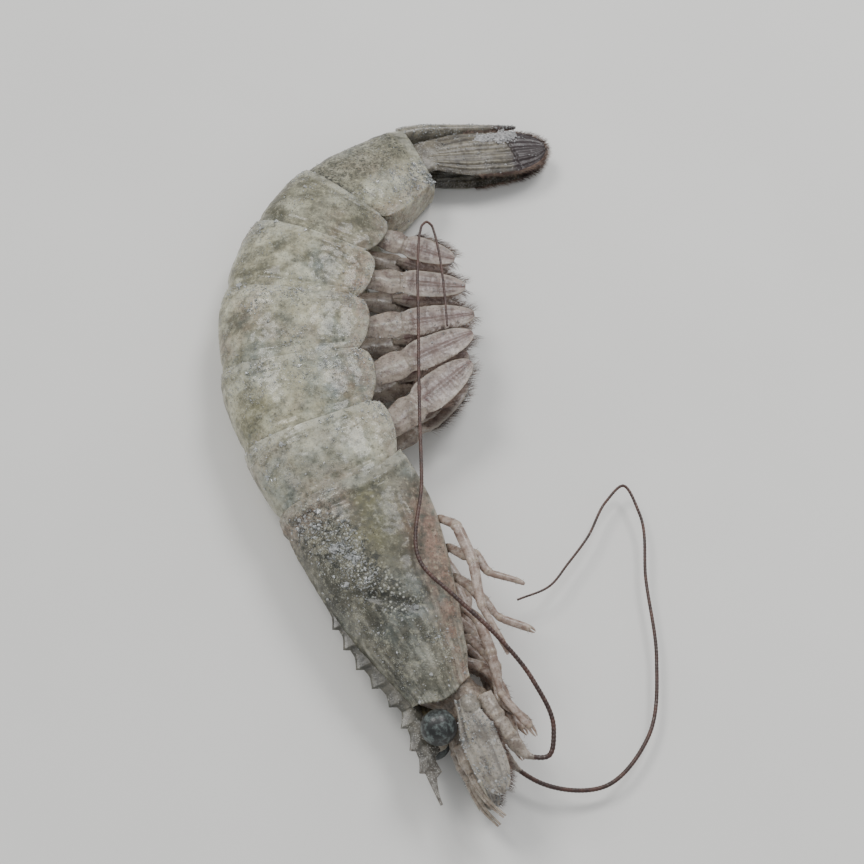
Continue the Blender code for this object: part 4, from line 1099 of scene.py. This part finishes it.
def build_leg(side, word, k, mat):
    """Walking leg in its own lane beside the midline; the first three end in small pincers."""
    s0, run, pincer = 8.0 + 5.2 * k, LEG_LENGTHS[k] - 9.0, k < 3
    lane, root = 2.6 + (1.56 if side > 0 else 1.51) * k, 2.2 + 0.25 * k

    def under(s, d):
        return -(float(belly(max(s, 0.0))) + d)
    pts = [(s0, float(roof(s0)) - 0.55 - 0.13 * k, root),
           (s0 - 1.4, under(s0 - 1.4, 0.2), root + 0.42 * (lane - root)),
           (s0 - 4.6, under(s0 - 4.6, 2.5 - 0.2 * k), lane)]
    pts += [(s0 - part * run, under(s0 - part * run, d), lane) for part, d in leg_posture(k, side)]
    path, at, corners = links([body(s, v, side * u) for s, v, u in pts], 300)
    ends = (0.58, 0.72, 0.72, 0.48, 0.22) if pincer else (0.80, 0.66, 0.56, 0.46, 0.24)
    r, knuckle = limb_radius(at, corners, (0.75, 0.80, 0.85, 0.90, 1.00, 1.00, 0.95) + ends)
    b = Build()
    palm = at < corners[-2] + 0.35 if pincer else at >= 0
    b.grid(tube_rings(path[palm], r[palm], 24, LEG_FLAT), joint=unit(knuckle[palm])[:, None])
    if pincer:
        tip = at >= corners[-2] - 0.3
        f = np.linspace(0, 1, tip.sum())
        across = frames(path[tip])[1]
        for way in (1.0, -1.0):
            gape = across * (way * (0.28 + 0.12 * np.sin(math.pi * f) - 0.14 * f))[:, None]
            b.grid(tube_rings(path[tip] + gape, 0.32 - 0.24 * f ** 1.5, 14, 0.8), joint=0.6 * f[:, None])
    hip = profile([(-0.8, 0.8), (-0.2, 1.25), (0.8, 1.2), (1.7, 0.85), (2.1, 0.4)], 22)
    hip = around((s0 - 0.3, float(roof(s0)) - 0.2, side * root), (-0.3, -0.95, side * 0.15), hip, 30)
    b.grid(hip, joint=0.4)
    b.done("leg_%s_%d_limb" % (word, k + 1), mat, "leg_%s_%d" % (word, k + 1))
    bristles(path[60:], r[60:], 60, 0.7)


def build_swimmeret(side, word, k, mat):
    """Ribbed stem and outer blade in one leaf, with a smaller inner blade beside it."""
    s0 = 0.5 * (JOINTS[k] + JOINTS[k + 1]) + 0.6
    a = math.degrees(float(np.interp(s0, SPINE_S, SPINE_A)))
    swing = math.radians(SWIMMERET_ANGLES[k] - (a - 90.0))
    ds, dv = math.sin(swing), -math.cos(swing)
    length, top = SWIMMERET_LENGTHS[k], float(roof(s0)) - 1.7

    def limb(d, c, t, u0):
        return rigid(s0, ds * d + dv * c, top + dv * d - ds * c, side * (u0 + t))

    def outer_place(d, c, t):
        return limb(d, c, t, 4.1)

    def inner_place(d, c, t):
        return limb(d + length * 0.36, c - 0.6, t, 3.4 - 0.09 * d)

    def outer_relief(d, c):
        blade = ease((d - 0.42) / 0.04)
        rings = 0.007 * np.cos(2 * math.pi * (d * length / 0.85)) * blade
        stem = (0.16 * bell(c, 0.0, 0.5) + 0.10 * bell(c, 0.6, 0.15)) * (1 - blade)
        ribs = (0.16 * bell(c, 0.05, 0.08) + 0.07 * bell(c, 0.5, 0.10) + 0.07 * bell(c, -0.45, 0.10)) * blade
        return rings + stem - 0.20 * bell(d, 0.42, 0.014) + ribs - 0.22 * blade * (1 - c * c)

    def inner_relief(d, c):
        rings = 0.006 * np.cos(2 * math.pi * (d * 0.52 * length / 0.85))
        return rings + 0.14 * bell(c, 0.0, 0.09) - 0.10 * (1 - c * c)
    b = Build()
    for size, width, thick, place, base, tip, relief, free, waist in (
            (length, 6.8 - 0.35 * k, 1.5, outer_place, 0.6, 0.55, outer_relief, 0.42, 0.24),
            (0.52 * length, 4.8 - 0.25 * k, 1.2, inner_place, 0.5, 0.5, inner_relief, 0.12, 0.0)):
        p, d, c = blade_rings(size, width, thick, place, base, tip, 150, 56, relief, 0.35, waist)
        p, n = pushed(p, 0.09 * fbm(p, 2.2, 47 + k))
        p = grounded(p)
        leaf = ease((d - free) / 0.08)
        b.grid(p, vein=np.clip(0.5 * bell(c, 0.05, 0.08) + 0.35 * (1 - leaf), 0, 0.8),
               tip=0.60 * leaf * bell(c, 0.0, 0.62), edge=0.65 * leaf * ease((np.abs(c) - 0.72) / 0.25),
               frost=unit(0.26 + 0.35 * fbm(p, 2.5, 57 + k)))
        if side > 0:
            catches_ice(p, n, 0.2)
        x = np.linspace(free + 0.06, 0.995, 210)
        hw = blade_half(x, width, base, tip, waist) * 0.96
        for edge in (1.0, -1.0):
            fringe(place, x * size, edge * hw, 1.0, edge * (hw + 0.8 - 0.3 * x), 1.4, 1.2, 0.030)
    b.done("pleopod_%s_%d_blades" % (word, k + 1), mat, "pleopod_%s_%d" % (word, k + 1))


# ------------------------------------------------------------------ hair and ice
def build_hairs(mat):
    """Every fringe and bristle as a tapered three-sided hair that droops a little."""
    root, way = (np.vstack([h[k] for h in HAIRS]) for k in (0, 1))
    length = np.concatenate([h[2] for h in HAIRS])[:, None]
    thick = np.concatenate([np.full(len(h[0]), h[3]) for h in HAIRS])[:, None]
    n = len(root)
    way = way / np.linalg.norm(way, axis=1)[:, None] + 0.22 * RNG.normal(size=(n, 3))
    way /= np.linalg.norm(way, axis=1)[:, None]
    a = np.cross(way, (0.0, 0.0, 1.0)) + 1e-6
    a /= np.linalg.norm(a, axis=1)[:, None]
    b = np.cross(way, a)
    verts = []
    for centre, radius in ((root, thick), (root + way * (0.55 * length), 0.65 * thick)):
        for w in (0.0, 2.094, 4.189):
            verts.append(centre + (math.cos(w) * a + math.sin(w) * b) * radius)
    verts.append(root + way * length + np.array([0, 0, -0.10]) * length)
    v = grounded(np.stack(verts, axis=1).reshape(-1, 3), 0.02)
    faces = []
    for i in range(3):
        j = (i + 1) % 3
        faces += [(i, j, j + 3), (i, j + 3, i + 3), (i + 3, j + 3, 6)]
    faces.append((0, 2, 1))
    f = np.vstack([np.arange(n)[:, None] * 7 + np.array(face) for face in faces])
    make("setae", v, f.tolist(), mat)


def build_grains(mat, count):
    """Loose ice crystals stuck to the shell, densest where the rime is thickest."""
    p, n, frost = (np.concatenate([s[k] for s in SURFACES]) for k in range(3))
    weight = unit(frost) ** 2 * (0.15 + ease(n[:, 2] + 0.3)) * (p[:, 2] - SHIFT[2] > 0.6)
    weight *= 0.2 + ease(0.5 + 1.2 * fbm(p, 2.2, 91, 3)) ** 2
    i = RNG.choice(len(p), count, p=weight / weight.sum())
    larger = 0.8 + 1.3 * unit(frost[i] - 0.35)
    size = np.clip(RNG.lognormal(math.log(0.066), 0.48, count) * larger, 0.03, 0.34)
    # about one crystal in six is a painted glint: near white, and larger
    glint = (RNG.random(count) < 0.18) * 1.0
    size = size * (1 + 0.9 * glint)
    # each crystal is an octahedron, stretched, turned at random and partly sunk
    octa = np.array([(1, 0, 0), (-1, 0, 0), (0, 1, 0), (0, -1, 0), (0, 0, 1), (0, 0, -1)], float)
    turn = np.linalg.qr(RNG.normal(size=(count, 3, 3)))[0]
    stretch = RNG.uniform(0.6, 1.35, (count, 1, 3)) * RNG.uniform(0.85, 1.15, (count, 6, 1))
    v = np.einsum("nij,nkj->nki", turn, octa[None] * stretch) * size[:, None, None]
    aside = 0.12 * RNG.normal(size=(count, 3)) * (1 - np.abs(n[i]))
    v += (p[i] + n[i] * (0.2 * size)[:, None] + aside)[:, None]
    v = grounded(v, 0.05)
    tris = np.array([(0, 2, 4), (2, 1, 4), (1, 3, 4), (3, 0, 4), (2, 0, 5), (1, 2, 5), (3, 1, 5), (0, 3, 5)])
    f = (np.arange(count)[:, None, None] * 6 + tris[None]).reshape(-1, 3)
    make("ice_grains", v.reshape(-1, 3), f.tolist(), mat, attrs={"painted_glint": np.repeat(glint, 6)}, smooth=False)


def lump(centre, radius, seed, n=7):
    """One small rounded piece of ice: a knobbly ball."""
    a = np.linspace(0.0, math.pi, n)[1:-1, None]
    w = circle(2 * n)[None, :]
    q = np.stack([np.sin(a) * np.cos(w), np.sin(a) * np.sin(w), np.cos(a) + 0 * w], axis=-1)
    grow = 1 + 0.45 * fbm(q + seed * 3.7, 0.9, seed, 3)
    return centre + q * (radius * grow)[..., None]


def build_crust(mat):
    """Granular crust frozen onto the upper edge of the tail."""
    place = tail_blade(1, True)
    d, w = np.linspace(12.6, 21.4, 90)[:, None], circle(40)[None, :]
    bumpy = 1 + 0.5 * fbm(np.stack([d, 0 * d, 0 * d], axis=-1), 2.0, 93)
    swell = np.sqrt(np.clip(1 - ((d - 17.0) / 4.4) ** 2, 0.0004, 1)) * bumpy
    p = place(d, 3.6 + 1.1 * swell * np.cos(w), 0.28 + 0.36 * swell * np.sin(w))
    p = pushed(p, 0.30 * fbm(p, 0.8, 95, 3))[0]
    b = Build()
    b.grid(p)
    for i in range(CRUST_LUMPS):
        q = p[RNG.integers(2, 88), RNG.integers(0, 40)] + RNG.normal(size=3) * (0.35, 0.25, 0.05)
        b.grid(lump(q, RNG.uniform(0.06, 0.24), i + 1))
    b.done("ice_crust", mat)


# ------------------------------------------------------------------------ stage
def aimed(name, data, direction):
    """A lamp that shines along the given direction."""
    ob = add_object(name, data)
    ob.rotation_euler = direction.to_track_quat("-Z", "Y").to_euler()
    return ob


def build_stage(centre):
    """Pale floor just under the shrimp, pale sky, a soft sun, and a window behind on the right."""
    me = bpy.data.meshes.new("floor")
    reach, depth = 9.0, -0.00004
    corners = [(x * reach, y * reach, depth) for x, y in ((-1, -1), (1, -1), (1, 1), (-1, 1))]
    me.from_pydata(corners, [], [(0, 1, 2, 3)])
    m = Nodes("floor_pale")
    me.materials.append(m.finish(m.clouds(60.0, (226, 225, 222), (230, 229, 226), 0.3, 0.7, 3.0, 0.55), 0.8))
    add_object("floor", me)
    world = bpy.data.worlds.new("studio")
    bpy.context.scene.world = world
    world.use_nodes = True
    sky = world.node_tree.nodes["Background"]
    sky.inputs["Color"].default_value = (0.96, 0.98, 1.0, 1.0)
    sky.inputs["Strength"].default_value = 0.62
    sun = bpy.data.lights.new("sky_key", "SUN")
    sun.energy, sun.angle, sun.color = 1.28, 0.34, (1.0, 0.985, 0.96)
    aimed("sky_key", sun, -Vector((-0.55, 0.52, 0.95)))
    offset = Vector((0.18, 0.30, 0.50))
    window = bpy.data.lights.new("window", "AREA")
    window.shape, window.size, window.energy = "DISK", 0.22, 1.6
    aimed("window", window, -offset).location = centre + offset


def build_camera(anchor, target):
    """Above and in front of the head end, looking steeply down on the shrimp."""
    data = bpy.data.cameras.new("camera")
    cam = add_object("camera", data)
    cam.location = Vector(anchor) * MM + Vector((-18.3, -118.5, 284.0)) * MM
    look = (Vector(target) - cam.location).normalized()
    up = Vector((0.0, 0.839, 0.545))
    up = (up - look * up.dot(look)).normalized()
    cam.rotation_euler = Matrix((look.cross(up), up, -look)).transposed().to_euler()
    data.sensor_width, data.lens = 36.0, 70.0
    data.clip_start, data.clip_end = 0.01, 10.0
    bpy.context.scene.camera = cam


def main():
    SHIFT[:] = np.array(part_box("abdomen_3")[0]) / MM - solid_corner()
    mats = {name: maker(name, *looks) for name, (maker, _, *looks) in MATERIALS.items()}
    build_carapace(mats["shell_head"])
    build_rostrum(mats["shell_beak"])
    for i in range(6):
        build_segment(i, mats["shell_body"])
    build_telson(mats["tail_spike"])
    for side, word in SIDES:
        for outer in (True, False):
            build_uropod(side, word, outer, mats["tail_blades"])
    build_mouth(mats["mouthparts"])
    for side, word in SIDES:
        build_eye(side, word, mats["eye_stalk"], mats["eye_cornea"])
        build_scale(side, word, mats["scale_plate"])
        build_antennule(side, word, mats["antennule_shell"])
    for word, base, whip, knots, rows in (("left", LEFT_BASE, LEFT_WHIP, 46, 1500),
                                          ("right", RIGHT_BASE, RIGHT_WHIP, 40, 1000)):
        build_feeler(word, base, whip, knots, rows, mats["feeler_red_brown"], mats["antennule_shell"])
    for side, word in SIDES:
        build_maxilliped(side, word, mats["leg_shell"])
        for k in range(5):
            build_leg(side, word, k, mats["leg_shell"])
    for side, word in SIDES:
        for k in range(5):
            build_swimmeret(side, word, k, mats["swimmeret_blade"])
    build_hairs(mats["setae"])
    build_grains(mats["ice_crystal"], GRAIN_COUNT)
    build_crust(mats["ice_crust"])

    lo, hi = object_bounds()
    middle = (lo + hi) / 2
    build_stage(middle)
    build_camera(body(JOINTS[0], 0.0, 0.0) * (1, 1, 0), (middle.x, middle.y, 0.008))


main()
